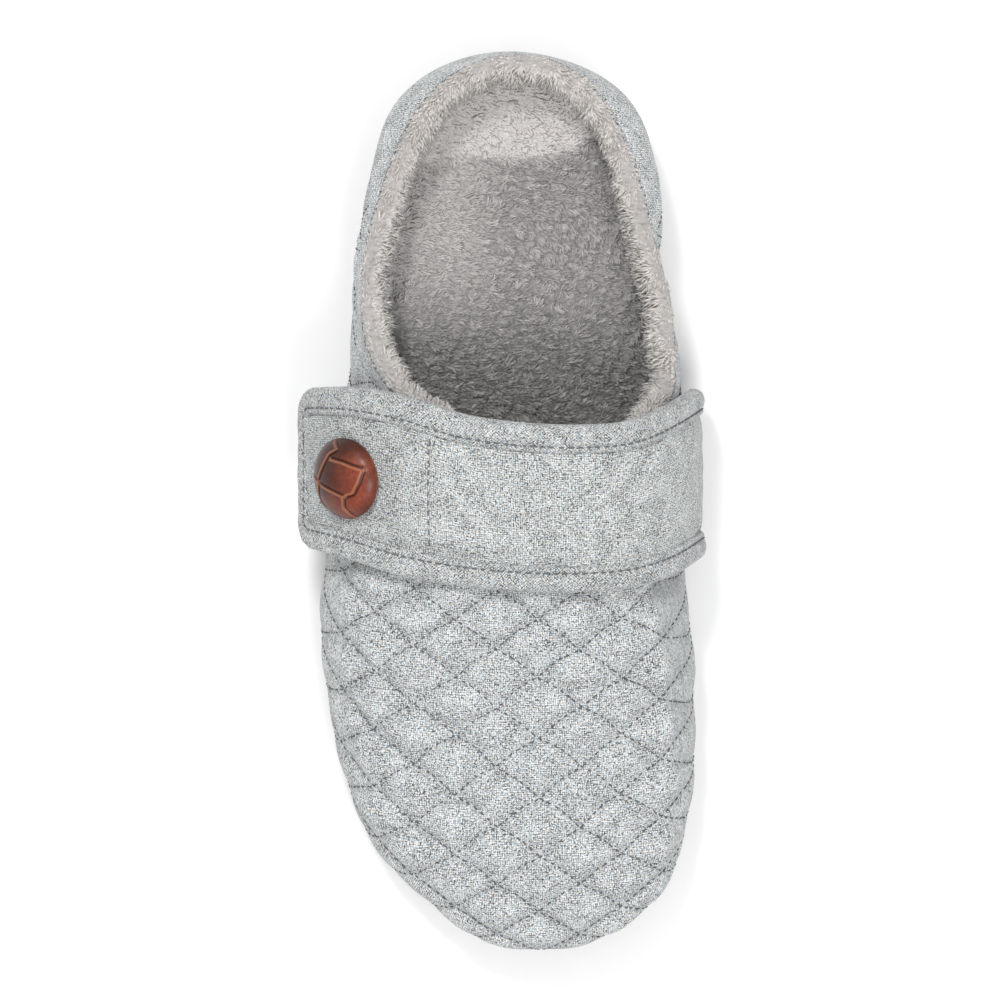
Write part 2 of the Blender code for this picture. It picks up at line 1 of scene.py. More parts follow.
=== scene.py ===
import bpy
import numpy as np
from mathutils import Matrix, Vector


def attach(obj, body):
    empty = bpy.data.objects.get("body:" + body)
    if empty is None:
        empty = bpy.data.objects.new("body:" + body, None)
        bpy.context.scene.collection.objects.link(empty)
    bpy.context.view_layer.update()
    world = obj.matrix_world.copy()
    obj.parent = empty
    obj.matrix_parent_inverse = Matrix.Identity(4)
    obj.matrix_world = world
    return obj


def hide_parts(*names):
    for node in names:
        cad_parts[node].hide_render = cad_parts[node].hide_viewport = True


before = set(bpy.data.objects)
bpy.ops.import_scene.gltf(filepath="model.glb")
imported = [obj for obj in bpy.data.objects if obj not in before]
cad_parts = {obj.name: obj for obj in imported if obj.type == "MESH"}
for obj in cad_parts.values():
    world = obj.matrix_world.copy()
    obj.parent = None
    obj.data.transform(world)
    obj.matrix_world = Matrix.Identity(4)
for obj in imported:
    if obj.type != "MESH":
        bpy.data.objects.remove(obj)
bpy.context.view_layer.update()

# Overall sizes
LENGTH = 0.265
BALL_WIDTH = 0.109
INSTEP_HEIGHT = 0.077
WALL = 0.0028
GAP = 0.0003

# Sole
SOLE_HEEL_TOP = 0.0205

# Upper
FEATHER_TUCK = 0.0020
WIDEST_ABOVE_SOLE = 0.010
WIDEST_SHARE = 0.16
SECTION_WIDTH_POWER = 2.35
SECTION_HEIGHT_POWER = 1.9
TOE_CAP_LENGTH = 0.17
TOE_CAP_POWER = 2.3
HEEL_EDGE_INSET = 0.0018
OPENING_LENGTH = 0.1217
COLLAR_HEIGHT = 0.050

# Insole
INSOLE_THICKNESS = 0.0075
INSOLE_CLEARANCE = 0.0013
INSOLE_INSET = FEATHER_TUCK + WALL + INSOLE_CLEARANCE
INSOLE_CUP = 0.0018
HEEL_CUP_RISE = 0.0070
HEEL_CUP_FOOT = 0.355
HEEL_CUP_TOP = 0.475

# Collar cuff
CUFF_WIDTH = 0.0068
CUFF_DROP = 0.0130
CUFF_RISE = 0.0050

# Strap
STRAP_THICKNESS = 0.0026
STRAP_CLEARANCE = 0.0024
STRAP_REACH = 0.0588
STRAP_CREST_X = 0.020
STRAP_LATERAL_LOW = 0.020
STRAP_MEDIAL_LOW = 0.0165
STRAP_POWER = 2.2
STRAP_START_ANGLE = 12.0
STRAP_START_WIDTH = np.cos(np.radians(STRAP_START_ANGLE)) ** (2 / STRAP_POWER)
STRAP_BACK_HUG = 0.0009
STRAP_HALF_WIDTH = 0.0250
STRAP_CORNER = 0.0095
BINDING_WIDTH = 0.0082
BINDING_CLOTH = 0.0009

# Button
BUTTON_DIAMETER = 0.0240
BUTTON_HEIGHT = 0.0078
BUTTON_ACROSS = -0.740
BUTTON_ALONG = 0.0253


# Outline, as shares of the ball width; each half is its share times the sine of its angle.
OUTLINE = np.array([
    # station, lateral, medial, midline
    (0.00, 0.725, 0.716, 0.028),
    (0.04, 0.688, 0.705, 0.028),
    (0.12, 0.573, 0.596, 0.028),
    (0.22, 0.515, 0.478, 0.040),
    (0.35, 0.526, 0.414, 0.087),
    (0.50, 0.574, 0.370, 0.117),
    (0.62, 0.616, 0.403, 0.114),
    (0.72, 0.646, 0.463, 0.107),
    (0.80, 0.661, 0.523, 0.104),
    (0.88, 0.682, 0.601, 0.101),
    (0.94, 0.624, 0.684, 0.101),
    (1.00, 0.630, 0.755, 0.101),
])

# Side view: sole_top as shares of SOLE_HEEL_TOP, crest_height of INSTEP_HEIGHT, crest_place of BALL_WIDTH.
SIDE = np.array([
    # station, sole_top, crest_height, crest_place
    (0.00, 1.02, 1.08, 0.046),
    (0.12, 1.00, 1.08, 0.055),
    (0.28, 0.95, 1.08, 0.110),
    (0.40, 0.83, 1.03, 0.170),
    (0.46, 0.74, 0.985, 0.183),
    (0.54, 0.63, 0.895, 0.170),
    (0.64, 0.55, 0.775, 0.148),
    (0.74, 0.51, 0.680, 0.125),
    (0.84, 0.53, 0.615, 0.110),
    (0.92, 0.61, 0.580, 0.101),
    (1.00, 0.76, 0.570, 0.101),
])

# Opening edge, as shares of the ball width, and its height as shares of COLLAR_HEIGHT.
OPENING = np.array([
    # station, lateral, medial, midline, height
    (0.00, 0.420, 0.420, 0.043, 1.00),
    (0.10, 0.397, 0.388, 0.037, 0.98),
    (0.22, 0.386, 0.373, 0.037, 0.93),
    (0.34, 0.388, 0.372, 0.037, 0.89),
    (0.47, 0.411, 0.381, 0.042, 0.90),
    (0.59, 0.436, 0.412, 0.050, 0.97),
    (0.71, 0.476, 0.441, 0.069, 1.09),
    (0.83, 0.514, 0.481, 0.101, 1.25),
    (1.00, 0.520, 0.470, 0.183, 1.50),
])

# Where on the opening's edge each point of the outline runs up to, in degrees from the heel.
SPOKES = np.array([
    # outline, opening
    (0.0, 0.0),
    (30.0, 44.5),
    (45.0, 67.0),
    (60.0, 93.0),
    (72.0, 114.0),
    (84.0, 131.0),
    (98.0, 145.0),
    (115.0, 156.0),
    (140.0, 168.0),
    (180.0, 180.0),
])
WALL_ENDS = 50.0
VAMP_STARTS = 88.0

# Strap edges in plan: across as shares of STRAP_REACH, the others of LENGTH.
STRAP_EDGES = np.array([
    # across, back, front
    (-1.00, 0.1245, -0.052),
    (-0.77, 0.1245, -0.066),
    (-0.50, 0.1150, -0.085),
    (-0.22, 0.0950, -0.0955),
    (0.20, 0.0825, -0.1025),
    (0.40, 0.0815, -0.1025),
    (0.69, 0.0895, -0.0960),
    (0.87, 0.1085, -0.0830),
    (1.00, 0.1270, -0.0660),
])

# Cuff section: inward as shares of CUFF_WIDTH, upward of CUFF_RISE or, below the edge, of CUFF_DROP.
CUFF_SECTION = (
    # inward, upward
    (0.04, 0.19),
    (0.10, 0.62),
    (0.34, 1.00),
    (0.64, 0.98),
    (0.88, 0.55),
    (1.00, -0.15),
    (0.99, -0.52),
    (0.90, -0.86),
    (0.75, -1.00),
    (0.62, -0.88),
    (0.56, -0.40),
    (0.53, 0.19),
)

# Quilting, thread and pile
SEED = 20
QUILT_ACROSS = 0.0256
QUILT_ALONG = 0.0178
QUILT_CENTRE = np.array((0.0109, -0.0357))
QUILT_HEIGHT = 0.0018
QUILT_SINK = 0.0007
QUILT_SHOULDER = 0.0030
QUILT_CREASE_SHADE = 0.0008
QUILT_ARC = 0.055
STITCH_PITCH = 0.0026
STITCH_LENGTH = 0.0015
STITCH_RADIUS = 0.00024
THREAD_PITCH = 0.00066
STRAP_SEAM = 0.0575
ROLL_PILE = 0.0030
ROLL_MIDDLE = np.array((0.006, 0.065, 0.0))
BED_PILE = 0.0020
BED_TRIES = 80000
BED_LOCKS = 20500
ROLL_LOCKS = 21500
LINING_LOCKS = 7000
PILE_WIDTH = 0.00095

# Camera and studio
CAMERA_HEIGHT = 3.5
PHOTO_SPAN = 1000 * LENGTH / 898
SENSOR = 36.0
OUTLINE_PLANE = 0.028
LIGHT_AIM = Vector((0.0, 0.0, 0.02))
LIGHTS = (
    # name, place, size, power
    ("key", (-0.27, 0.61, 1.43), 0.30, 12.2),
    ("front", (0.38, -0.70, 1.50), 0.70, 13.0),
)
SURROUND = 0.69
FLOOR_LEVEL = -0.0002

rng = np.random.default_rng(SEED)


def column(table, number, at):
    """A smooth curve through one column of a table, over its first column."""
    places = table[:, 0]
    values = table[:, number]
    slopes = np.gradient(values, places)
    at = np.clip(at, places[0], places[-1])
    low = np.clip(np.searchsorted(places, at) - 1, 0, len(places) - 2)
    step = places[low + 1] - places[low]
    t = (at - places[low]) / step
    start = (2 * t**3 - 3 * t**2 + 1) * values[low] + (t**3 - 2 * t**2 + t) * step * slopes[low]
    end = (3 * t**2 - 2 * t**3) * values[low + 1] + (t**3 - t**2) * step * slopes[low + 1]
    return start + end


def smooth(low, high, at):
    t = np.clip((at - low) / (high - low), 0.0, 1.0)
    return t * t * (3 - 2 * t)


def run_along(points):
    """Length along rows of points, from the first row on."""
    steps = np.linalg.norm(np.diff(points, axis=0), axis=-1)
    return np.concatenate([np.zeros_like(steps[:1]), np.cumsum(steps, axis=0)])


def unit(vectors, least=1e-9):
    return vectors / np.maximum(np.linalg.norm(vectors, axis=-1, keepdims=True), least)


def circle(count):
    return np.linspace(0, 2 * np.pi, count, endpoint=False)


def turn_from_heel(angle):
    """Degrees from the heel, on either side."""
    return np.degrees(np.abs((angle + np.pi) % (2 * np.pi) - np.pi))


def station_of(y):
    return np.clip((LENGTH / 2 - y) / LENGTH, 0.0, 1.0)


def half_x(table, station, lateral, sine):
    """Plan place on one side of a table's ring at a station."""
    half = np.where(lateral, -column(table, 1, station), column(table, 2, station))
    return BALL_WIDTH * (column(table, 3, station) + half * sine)


def outline_x(station, lateral):
    sine = 2 * np.sqrt(np.clip(station * (1 - station), 0.0, None))
    return half_x(OUTLINE, station, lateral, sine)


def outline(angle, inset):
    """Plan points of the outline, moved inwards; the angle runs from the heel over the lateral side."""

    def raw(a):
        station = (1 - np.cos(a)) / 2
        return np.stack([outline_x(station, np.sin(a) >= 0), LENGTH / 2 - LENGTH * station], axis=-1)

    run = unit(raw(angle + 1e-3) - raw(angle - 1e-3), 0.0)
    inward = np.stack([-run[..., 1], run[..., 0]], axis=-1)
    return raw(angle) + inward * inset[..., None]


def opening(angle):
    """Points of the upper's top edge round the opening."""
    station = (1 - np.cos(angle)) / 2
    x = half_x(OPENING, station, np.sin(angle) >= 0, np.abs(np.sin(angle)))
    y = LENGTH / 2 - HEEL_EDGE_INSET - OPENING_LENGTH * station
    return x, y, COLLAR_HEIGHT * column(OPENING, 4, station)


def sole_top(station):
    return SOLE_HEEL_TOP * column(SIDE, 1, station)


def widest_height(station):
    return sole_top(station) + WIDEST_ABOVE_SOLE


def crest_height(station):
    low = widest_height(station)
    ahead = np.clip((1 - station) / TOE_CAP_LENGTH, 0.0, 1.0)
    cap = (1 - (1 - ahead) ** TOE_CAP_POWER) ** (1 / SECTION_HEIGHT_POWER)
    return low + (INSTEP_HEIGHT * column(SIDE, 2, station) - low) * cap


def dome(x, y):
    """Height of the foot's form over a plan point."""
    station = station_of(y)
    crest_x = BALL_WIDTH * column(SIDE, 3, station)
    reach = np.abs(outline_x(station, x < crest_x) - crest_x)
    across = np.clip(np.abs(x - crest_x) / np.maximum(reach, 1e-6), 0.0, 1.0)
    share = (1 - across**SECTION_WIDTH_POWER) ** (1 / SECTION_HEIGHT_POWER)
    low = widest_height(station)
    return low + (crest_height(station) - low) * share


def upper_point(angle, share):
    """Outer face of the upper, by the angle from the heel and the share from sole to opening."""
    angle, share = np.broadcast_arrays(angle, share)
    turn = turn_from_heel(angle)
    side = np.where(np.sin(angle) >= 0, 1.0, -1.0)
    edge_x, edge_y, edge_z = opening(side * np.radians(column(SPOKES, 1, turn)))
    below = np.clip(1 - share / WIDEST_SHARE, 0.0, 1.0)
    above = np.clip((share - WIDEST_SHARE) / (1 - WIDEST_SHARE), 0.0, 1.0)
    foot = outline(angle, FEATHER_TUCK * below**2)
    vamp = smooth(WALL_ENDS, VAMP_STARTS, turn)
    along = above ** (2.0 - 0.2 * vamp)
    x = foot[..., 0] + (edge_x - foot[..., 0]) * along
    y = foot[..., 1] + (edge_y - foot[..., 1]) * along
    foot_station = (1 - np.cos(angle)) / 2
    low = widest_height(foot_station)
    wall_z = low + (edge_z - low) * above
    z = wall_z + (dome(x, y) - wall_z) * vamp
    floor_z = sole_top(foot_station) + GAP
    z = np.where(above > 0, z, low + (floor_z - low) * below)
    return np.stack([x, y, z], axis=-1)


def outward_normals(angle, share, step=1e-3):
    """Unit normals of the upper's outer face."""
    across = upper_point(angle + step, share) - upper_point(angle - step, share)
    low, high = np.clip(share - step, 0, 1), np.clip(share + step, 0, 1)
    return unit(np.cross(across, upper_point(angle, high) - upper_point(angle, low)), 0.0)


def upper_inner(angle, share, depth):
    return upper_point(angle, share) - depth * outward_normals(angle, share)


def spoke_of(opened):
    """The outline angle whose spoke ends at an angle round the opening."""
    degrees = np.linspace(0, 180, 361)
    found = np.radians(np.interp(turn_from_heel(opened), column(SPOKES, 1, degrees), degrees))
    return np.where(np.sin(opened) >= 0, found, -found)


def strap_surface(angle, share):
    """Outer face of the strap, by the angle from lateral to medial and the share from back to front."""
    angle, share = np.broadcast_arrays(angle, share)
    lateral = np.cos(angle) > 0
    hug = STRAP_BACK_HUG * np.clip(1 - 2 * share, 0.0, None) ** 3
    wide = (STRAP_REACH + STRAP_CREST_X) / STRAP_START_WIDTH
    reach = np.where(lateral, -wide, STRAP_REACH - STRAP_CREST_X - hug)
    x = STRAP_CREST_X + reach * np.abs(np.cos(angle)) ** (2 / STRAP_POWER)
    across = x / STRAP_REACH
    back = LENGTH * column(STRAP_EDGES, 1, across)
    front = LENGTH * column(STRAP_EDGES, 2, across)
    y = back + (front - back) * share
    crest = crest_height(station_of(y)) + STRAP_CLEARANCE + STRAP_THICKNESS
    low = np.where(lateral, STRAP_LATERAL_LOW, STRAP_MEDIAL_LOW)
    z = low + (crest - low) * np.abs(np.sin(angle)) ** (2 / STRAP_POWER)
    return np.stack([x, y, z], axis=-1)


# Angle and length along the middle of the strap, from the lateral end.
STRAP_ANGLE = np.radians(np.linspace(STRAP_START_ANGLE, 180.0, 400))
STRAP_RUN = run_along(strap_surface(STRAP_ANGLE, 0.5))
STRAP_END = STRAP_RUN[-1]


def strap_point(along, aside, lift):
    """A point over the strap, by its length along, its distance aside of the middle and its lift."""
    along, aside = np.broadcast_arrays(along, aside)
    angle = np.interp(along, STRAP_RUN, STRAP_ANGLE)
    share = 0.5 + aside / (2 * STRAP_HALF_WIDTH)
    at = strap_surface(angle, share)
    step = 2e-3
    high = np.minimum(angle + step, np.pi - 1e-4)
    one = strap_surface(high, share) - strap_surface(high - 2 * step, share)
    two = strap_surface(angle, share + step) - strap_surface(angle, share - step)
    return at + unit(np.cross(two, one), 0.0) * np.asarray(lift)[..., None]


def binding_path(count):
    """Even places along the strap's free outline, each with its way towards the strap's middle."""
    straight = np.linspace(STRAP_END, STRAP_CORNER, 120)
    turn = np.radians(np.linspace(0, 90, 24))[1:]
    flat = STRAP_HALF_WIDTH - STRAP_CORNER
    path = [(along, -STRAP_HALF_WIDTH, 0.0, 1.0) for along in straight]
    for one, two in zip(np.sin(turn), np.cos(turn)):
        path.append((STRAP_CORNER * (1 - one), -flat - STRAP_CORNER * two, one, two))
    path += [(0.0, -flat * place, 1.0, 0.0) for place in (0.5, 0.0)]
    path += [(along, -aside, one, -two) for along, aside, one, two in path[-3::-1]]
    path = np.array(path)
    run = run_along(path[:, :2])
    at = np.linspace(0, run[-1], count)
    path = np.column_stack([np.interp(at, run, values) for values in path.T])
    path[:, 2:] = unit(path[:, 2:])
    return path


def grid_faces(rows, columns):
    """Four-sided faces of a grid of points whose columns close round."""
    row, place = np.meshgrid(np.arange(rows - 1), np.arange(columns), indexing="ij")
    near = row * columns
    after = near + (place + 1) % columns
    place = near + place
    return np.stack([place, after, after + columns, place + columns], axis=-1).reshape(-1, 4)


def piece(name, points, faces, looks, uv=None, side_uv=None, **fields):
    """A smooth mesh of equal faces, with one texture point for each vertex."""
    mesh = bpy.data.meshes.new(name)
    mesh.from_pydata(points.reshape(-1, 3), [], faces, shade_flat=False)
    for title, flat in (("UVMap", uv), ("SideMap", side_uv)):
        if flat is not None:
            corners = np.asarray(flat, np.float32).reshape(-1, 2)[faces.ravel()]
            mesh.uv_layers.new(name=title).data.foreach_set("uv", corners.ravel())
    for title, values in fields.items():
        field = mesh.attributes.new(title, "FLOAT", "POINT")
        field.data.foreach_set("value", np.asarray(values, np.float32).ravel())
    mesh.validate()
    mesh.materials.append(looks)
    made = add_object(name, mesh)
    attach(made, "root")
    return made


def grid_piece(name, grid, looks, uv=None, **fields):
    return piece(name, grid, grid_faces(*grid.shape[:2]), looks, uv, **fields)


def add_object(name, data):
    made = bpy.data.objects.new(name, data)
    bpy.context.scene.collection.objects.link(made)
    return made


def soft_noise(points, size, seed):
    """Cheap smooth noise from a few turned waves, about -1 to 1."""
    local = np.random.default_rng(seed)
    total = np.zeros(points.shape[:-1])
    for _ in range(7):
        way = local.normal(size=points.shape[-1])
        way /= np.linalg.norm(way)
        stretch = local.uniform(0.6, 1.7) * 2 * np.pi / size
        total += np.sin(points @ way * stretch + local.uniform(0, 2 * np.pi))
    return total / 3.0


def joined(operation):
    """A method that joins two shader numbers in a Math node."""
    return lambda one, two: one.nodes.math(operation, one, two)


class Number:
    """A shader number, whose operators make Math nodes."""

    def __init__(self, nodes, socket):
        self.nodes = nodes
        self.socket = socket

    __add__ = joined("ADD")
    __sub__ = joined("SUBTRACT")
    __mul__ = joined("MULTIPLY")
    __truediv__ = joined("DIVIDE")
    __gt__ = joined("GREATER_THAN")


class Nodes:
    """Short names for building one material's node tree."""

    def __init__(self, name, roughness, sheen=0.0, level=0.15):
        self.looks = bpy.data.materials.new(name)
        self.looks.use_nodes = True
        self.tree = self.looks.node_tree
        self.shader = self.tree.nodes["Principled BSDF"]
        self.fill(self.shader, {
            "Roughness": roughness,
            "Sheen Weight": sheen,
            "Sheen Roughness": 0.5,
            "Specular IOR Level": level,
        })

    def fill(self, node, values):
        """Gives a node's inputs, by name or number, a link or a plain value."""
        for key, value in values.items():
            if isinstance(value, Number):
                value = value.socket
            if isinstance(value, bpy.types.NodeSocket):
                self.tree.links.new(value, node.inputs[key])
            else:
                node.inputs[key].default_value = value

    def node(self, kind, values=None, **fields):
        made = self.tree.nodes.new("ShaderNode" + kind)
        for key, value in fields.items():
            setattr(made, key, value)
        self.fill(made, values or {})
        return made.outputs

    def math(self, operation, *values):
        return Number(self, self.node("Math", dict(enumerate(values)), operation=operation)[0])

    def noise(self, place, scale, detail=2.0, roughness=0.5):
        values = {"Vector": place, "Scale": scale, "Detail": detail, "Roughness": roughness}
        return Number(self, self.node("TexNoise", values)["Fac"])

    def attribute(self, name):
        return Number(self, self.node("Attribute", attribute_name=name)["Fac"])

    def flat_place(self, name=""):
        return self.node("UVMap", uv_map=name)[0]

    def solid_place(self):
        return self.node("TexCoord")["Object"]

    def split(self, vector):
        return [Number(self, part) for part in self.node("SeparateXYZ", {0: vector})]

    def combine(self, x, y, z=0.0):
        return self.node("CombineXYZ", {0: x, 1: y, 2: z})[0]

    def mix(self, share, one, two, blend="MIX"):
        return self.node("Mix", {0: share, 6: one, 7: two}, data_type="RGBA", blend_type=blend)[2]

    def shaded(self, body, share):
        return self.mix(1.0, body, self.combine(share, share, share), "MULTIPLY")

    def ramp(self, value, stops):
        made = self.tree.nodes.new("ShaderNodeValToRGB")
        self.fill(made, {0: value})
        elements = made.color_ramp.elements
        while len(elements) < len(stops):
            elements.new(0.5)
        for element, (place, colour) in zip(elements, stops):
            element.position = place
            element.color = (*colour, 1.0)
        return made.outputs[0]

    def finish(self, colour, height=None, distance=0.0, strength=0.0):
        """Sets the shader's colour and, where there is a height, its bump."""
        self.fill(self.shader, {"Base Color": colour})
        if height is not None:
            values = {"Strength": strength, "Distance": distance, "Height": height}
            self.fill(self.shader, {"Normal": self.node("Bump", values)[0]})
        return self.looks


def wool(name, tint, turn=0.0, contrast=1.0, has_side=False):
    """Heathered plain weave on a texture map that is measured in metres."""
    made = Nodes(name, 0.95, 0.15)
    place = made.flat_place("UVMap")
    if has_side:
        ragged = (made.noise(place, 500.0, 3.0, 0.7) - 0.5) * 0.8
        switch = made.attribute("wall") + ragged > 0.5
        places = {0: switch, 4: place, 5: made.flat_place("SideMap")}
        place = made.node("Mix", places, data_type="VECTOR")[1]
    turned = made.node("VectorRotate", {"Vector": place, "Angle": turn}, rotation_type="Z_AXIS")[0]
    along, aside, _ = made.split(turned)
    shift = (made.noise(turned, 260.0) - 0.5) * (1.3 * THREAD_PITCH)
    u = (along + shift) / THREAD_PITCH
    v = (aside + shift) / THREAD_PITCH
    wave_u = made.math("SINE", u * np.pi)
    wave_v = made.math("SINE", v * np.pi)
    over = wave_u * wave_v > 0.0
    warp = made.noise(made.combine(u * 1.9, v * 0.42), 1.0, 2.0, 0.6)
    weft = made.noise(made.combine(u * 0.42, v * 1.9), 1.0, 2.0, 0.6)
    thread = over * warp + made.math("SUBTRACT", 1.0, over) * weft
    fleck = made.noise(turned, 1900.0, 2.0, 0.75)
    cloud = made.noise(turned, 170.0, 3.0, 0.6)
    ridge_u = made.math("ABSOLUTE", wave_u)
    ridge_v = made.math("ABSOLUTE", wave_v)
    joint = made.math("MINIMUM", ridge_u, ridge_v)
    value = thread * 0.46 + fleck * 0.46 + (cloud - 0.5) * 0.13 + 0.04 + (joint - 0.5) * 0.075
    tint = np.array(tint)
    shades = (
        # place from the middle, share of the tint
        (-0.105, 0.14),
        (-0.058, 0.46),
        (-0.028, 0.93),
        (0.020, 1.14),
        (0.070, 1.48),
        (0.125, 1.85),
    )
    woven = made.ramp(value, [(0.5 + place / contrast, tint * share) for place, share in shades])
    warmth = made.ramp(made.noise(turned, 900.0, 2.0, 0.8), (
        (0.38, (1.05, 0.99, 0.94)),
        (0.50, (1.0, 1.0, 1.0)),
        (0.62, (0.93, 1.0, 1.05)),
    ))
    tinted = made.mix(1.0, woven, warmth, "MULTIPLY")
    # Painted shade: the cloth is mixed towards a dark tint by a per-vertex field, along the quilting lines
    # of the upper and over part of the strap.
    colour = made.mix(made.attribute("valley") * 0.22, tinted, (*(tint * 0.16), 1.0))
    return made.finish(colour, (ridge_u + ridge_v) * 0.35 + fleck * 0.9, 0.00040, 0.7)


def plush(name, root, tip, streak):
    """Pile: the texture map holds each lock's colour share across, random and on the footbed also painted
    light and shade, and the place from root to tip along.
    """
    made = Nodes(name, 1.0, 0.35)
    random_and_painted_light, along, _ = made.split(made.flat_place())
    root = np.array(root)
    tip = np.array(tip)
    body = made.ramp(along, ((0.0, root), (0.55, (root + tip) / 2), (1.0, tip)))
    return made.finish(made.shaded(body, random_and_painted_light * streak + (1.0 - 0.5 * streak)))


def plain(name, colour, roughness, level):
    return Nodes(name, roughness, level=level).finish((*colour, 1.0))


def fleece_ground(name, colour, has_shade=False):
    """The cloth under the pile, with soft nap streaks in relief."""
    made = Nodes(name, 1.0, 0.3)
    stretch = {0: made.solid_place(), 1: (1.0, 2.6, 1.4)}
    streak = made.noise(made.node("VectorMath", stretch, operation="MULTIPLY")[0], 420.0, 4.0, 0.7)
    colour = np.array(colour)
    body = made.ramp(streak, ((0.32, colour * 0.62), (0.5, colour), (0.7, colour * 1.15)))
    # On the footbed the ground is multiplied by the same painted light and shade as its pile.
    if has_shade:
        body = made.shaded(body, made.attribute("shade") * 1.1 + 0.45)
    return made.finish(body, streak, 0.0012, 0.7)


def leather(name):
    """Brown hide: the texture map holds the grooves' strength and the painted highlight along the raised
    edge beside each.
    """
    made = Nodes(name, 0.38, level=0.24)
    made.fill(made.shader, {"Coat Weight": 0.10, "Coat Roughness": 0.18})
    grain = made.noise(made.solid_place(), 900.0, 5.0, 0.65)
    cloud = made.noise(made.solid_place(), 130.0, 3.0)
    groove, raised_edge_and_highlight, _ = made.split(made.flat_place())
    body = made.ramp(cloud * 0.6 + grain * 0.4, (
        (0.30, (0.070, 0.013, 0.007)),
        (0.50, (0.165, 0.034, 0.017)),
        (0.72, (0.290, 0.075, 0.034)),
    ))
    # Painted light and shade across the button: darker towards its heel and lateral side, lighter towards
    # its toe and medial side.
    body = made.shaded(body, made.attribute("patina"))
    body = made.mix(groove, body, (0.020, 0.006, 0.005, 1.0))
    # Painted highlight along the raised edge beside each groove.
    return made.finish(made.mix(raised_edge_and_highlight, body, (0.52, 0.200, 0.100, 1.0)), grain, 0.00025, 0.5)


def rubber(name):
    made = Nodes(name, 0.7)
    grain = made.noise(made.solid_place(), 1500.0, 3.0, 0.6)
    body = made.ramp(grain, ((0.3, (0.13, 0.13, 0.135)), (0.7, (0.20, 0.20, 0.205))))
    return made.finish(body, grain, 0.0003, 0.5)


def grid_normals(points):
    """Normals of a grid whose columns close round, by differences of its points."""
    across = np.roll(points, -1, axis=1) - np.roll(points, 1, axis=1)
    return unit(np.cross(across, np.gradient(points, axis=0)))


def unrolled(points):
    """Flat places of the upper's grid: each spoke is laid out from the opening's edge."""
    steps = points[:-1] - points[1:]
    plan = unit(points[0, :, :2] - points[-1, :, :2])
    lengths = np.linalg.norm(steps, axis=-1)
    level = np.linalg.norm(steps[..., :2], axis=-1) / np.maximum(lengths, 1e-9)
    weight = np.clip(level, 0.0, 1.0)[..., None]
    way = unit(unit(steps[..., :2]) * weight + plan * (1 - weight))
    flat = np.zeros_like(points[..., :2])
    flat[-1] = points[-1, :, :2]
    for row in range(len(points) - 2, -1, -1):
        flat[row] = flat[row + 1] + way[row] * lengths[row, :, None]
    return flat


def quilt_lines(flat, origin):
    """Two families of numbers, each whole along its quilting lines."""
    u = (flat[..., 0] - origin[0]) / QUILT_ACROSS + 0.020 * soft_noise(flat, 0.050, 31)
    v = (flat[..., 1] - origin[1]) / QUILT_ALONG + 0.022 * soft_noise(flat, 0.042, 32)
    v = v - QUILT_ARC * np.abs(np.sin(2 * np.pi * u)) ** 1.5
    return u + v, u - v


def level_links(shifted, points, normals):
    """Places where a closed grid's values cross zero, and the links between them."""
    columns = shifted.shape[1]
    links = {}
    places = {}
    sign = shifted > 0
    after = np.roll(sign, -1, axis=1)
    busy = np.zeros_like(sign)
    busy[:-1] = (sign[:-1] != after[:-1]) | (sign[:-1] != sign[1:]) | (after[:-1] != after[1:])
    for row, place in zip(*np.nonzero(busy)):
        right = (place + 1) % columns
        if abs(shifted[row, place] - shifted[row, right]) > 2:
            continue
        corners = ((row, place), (row, right), (row + 1, right), (row + 1, place))
        found = []
        for one, two in zip(corners, corners[1:] + corners[:1]):
            if sign[one] != sign[two]:
                key = (min(one, two), max(one, two))
                if key not in places:
                    share = shifted[one] / (shifted[one] - shifted[two])
                    places[key] = (points[one] + (points[two] - points[one]) * share, normals[one])
                found.append(key)
        if len(found) == 2:
            links.setdefault(found[0], []).append(found[1])
            links.setdefault(found[1], []).append(found[0])
    return links, places


def whole_lines(values, points, normals):
    """Chains of points and normals where the values on a closed grid are whole."""
    chains = []
    for level in range(int(np.floor(values.min())), int(np.ceil(values.max())) + 1):
        links, places = level_links(values - level, points, normals)
        unused = set(links)
        while unused:
            ends = [key for key in unused if len(links[key]) == 1]
            here = ends[0] if ends else min(unused)
            chain = []
            while here is not None:
                unused.discard(here)
                chain.append(places[here])
                here = next((key for key in links[here] if key in unused), None)
            if len(chain) > 6:
                chains.append(tuple(np.array(column) for column in zip(*chain)))
    return chains


def point_at(place, run, rows):
    """What a chain's rows hold at a length along its run."""
    return np.array([np.interp(place, run, rows[:, axis]) for axis in range(3)])


def dashes(name, chains, looks, pitch, length, radius, lift):
    """Short rounded stitches along chains of points, a little sunk into the cloth."""
    stages = (
        # place along, size, dip
        (-0.5, 0.15, -1.1),
        (-0.38, 0.75, -0.3),
        (0.0, 1.0, 0.0),
        (0.38, 0.75, -0.3),
        (0.5, 0.15, -1.1),
    )
    turns = circle(5)[:, None]
    points = []
    for at, up in chains:
        run = run_along(at)
        if run[-1] < 2 * pitch:
            continue
        for middle in np.arange(pitch / 2, run[-1] - pitch / 2, pitch):
            middle += rng.normal() * 0.06 * pitch
            way = unit(point_at(middle + length / 2, run, at) - point_at(middle - length / 2, run, at))
            normal = unit(point_at(middle, run, up))
            side = unit(np.cross(normal, way))
            ring = np.cos(turns) * side + np.sin(turns) * normal
            size = length * (1 + 0.12 * rng.normal())
            centre = point_at(middle, run, at)
            for share, scale, dip in stages:
                lifted = normal * (lift + dip * radius)
                points.append(centre + way * share * size + lifted + radius * scale * ring)
    count = len(stages) * len(turns)
    starts = count * np.arange(len(points) // len(stages))[:, None, None]
    faces = (grid_faces(len(stages), len(turns)) + starts).reshape(-1, 4)
    piece(name, np.concatenate(points), faces, looks)


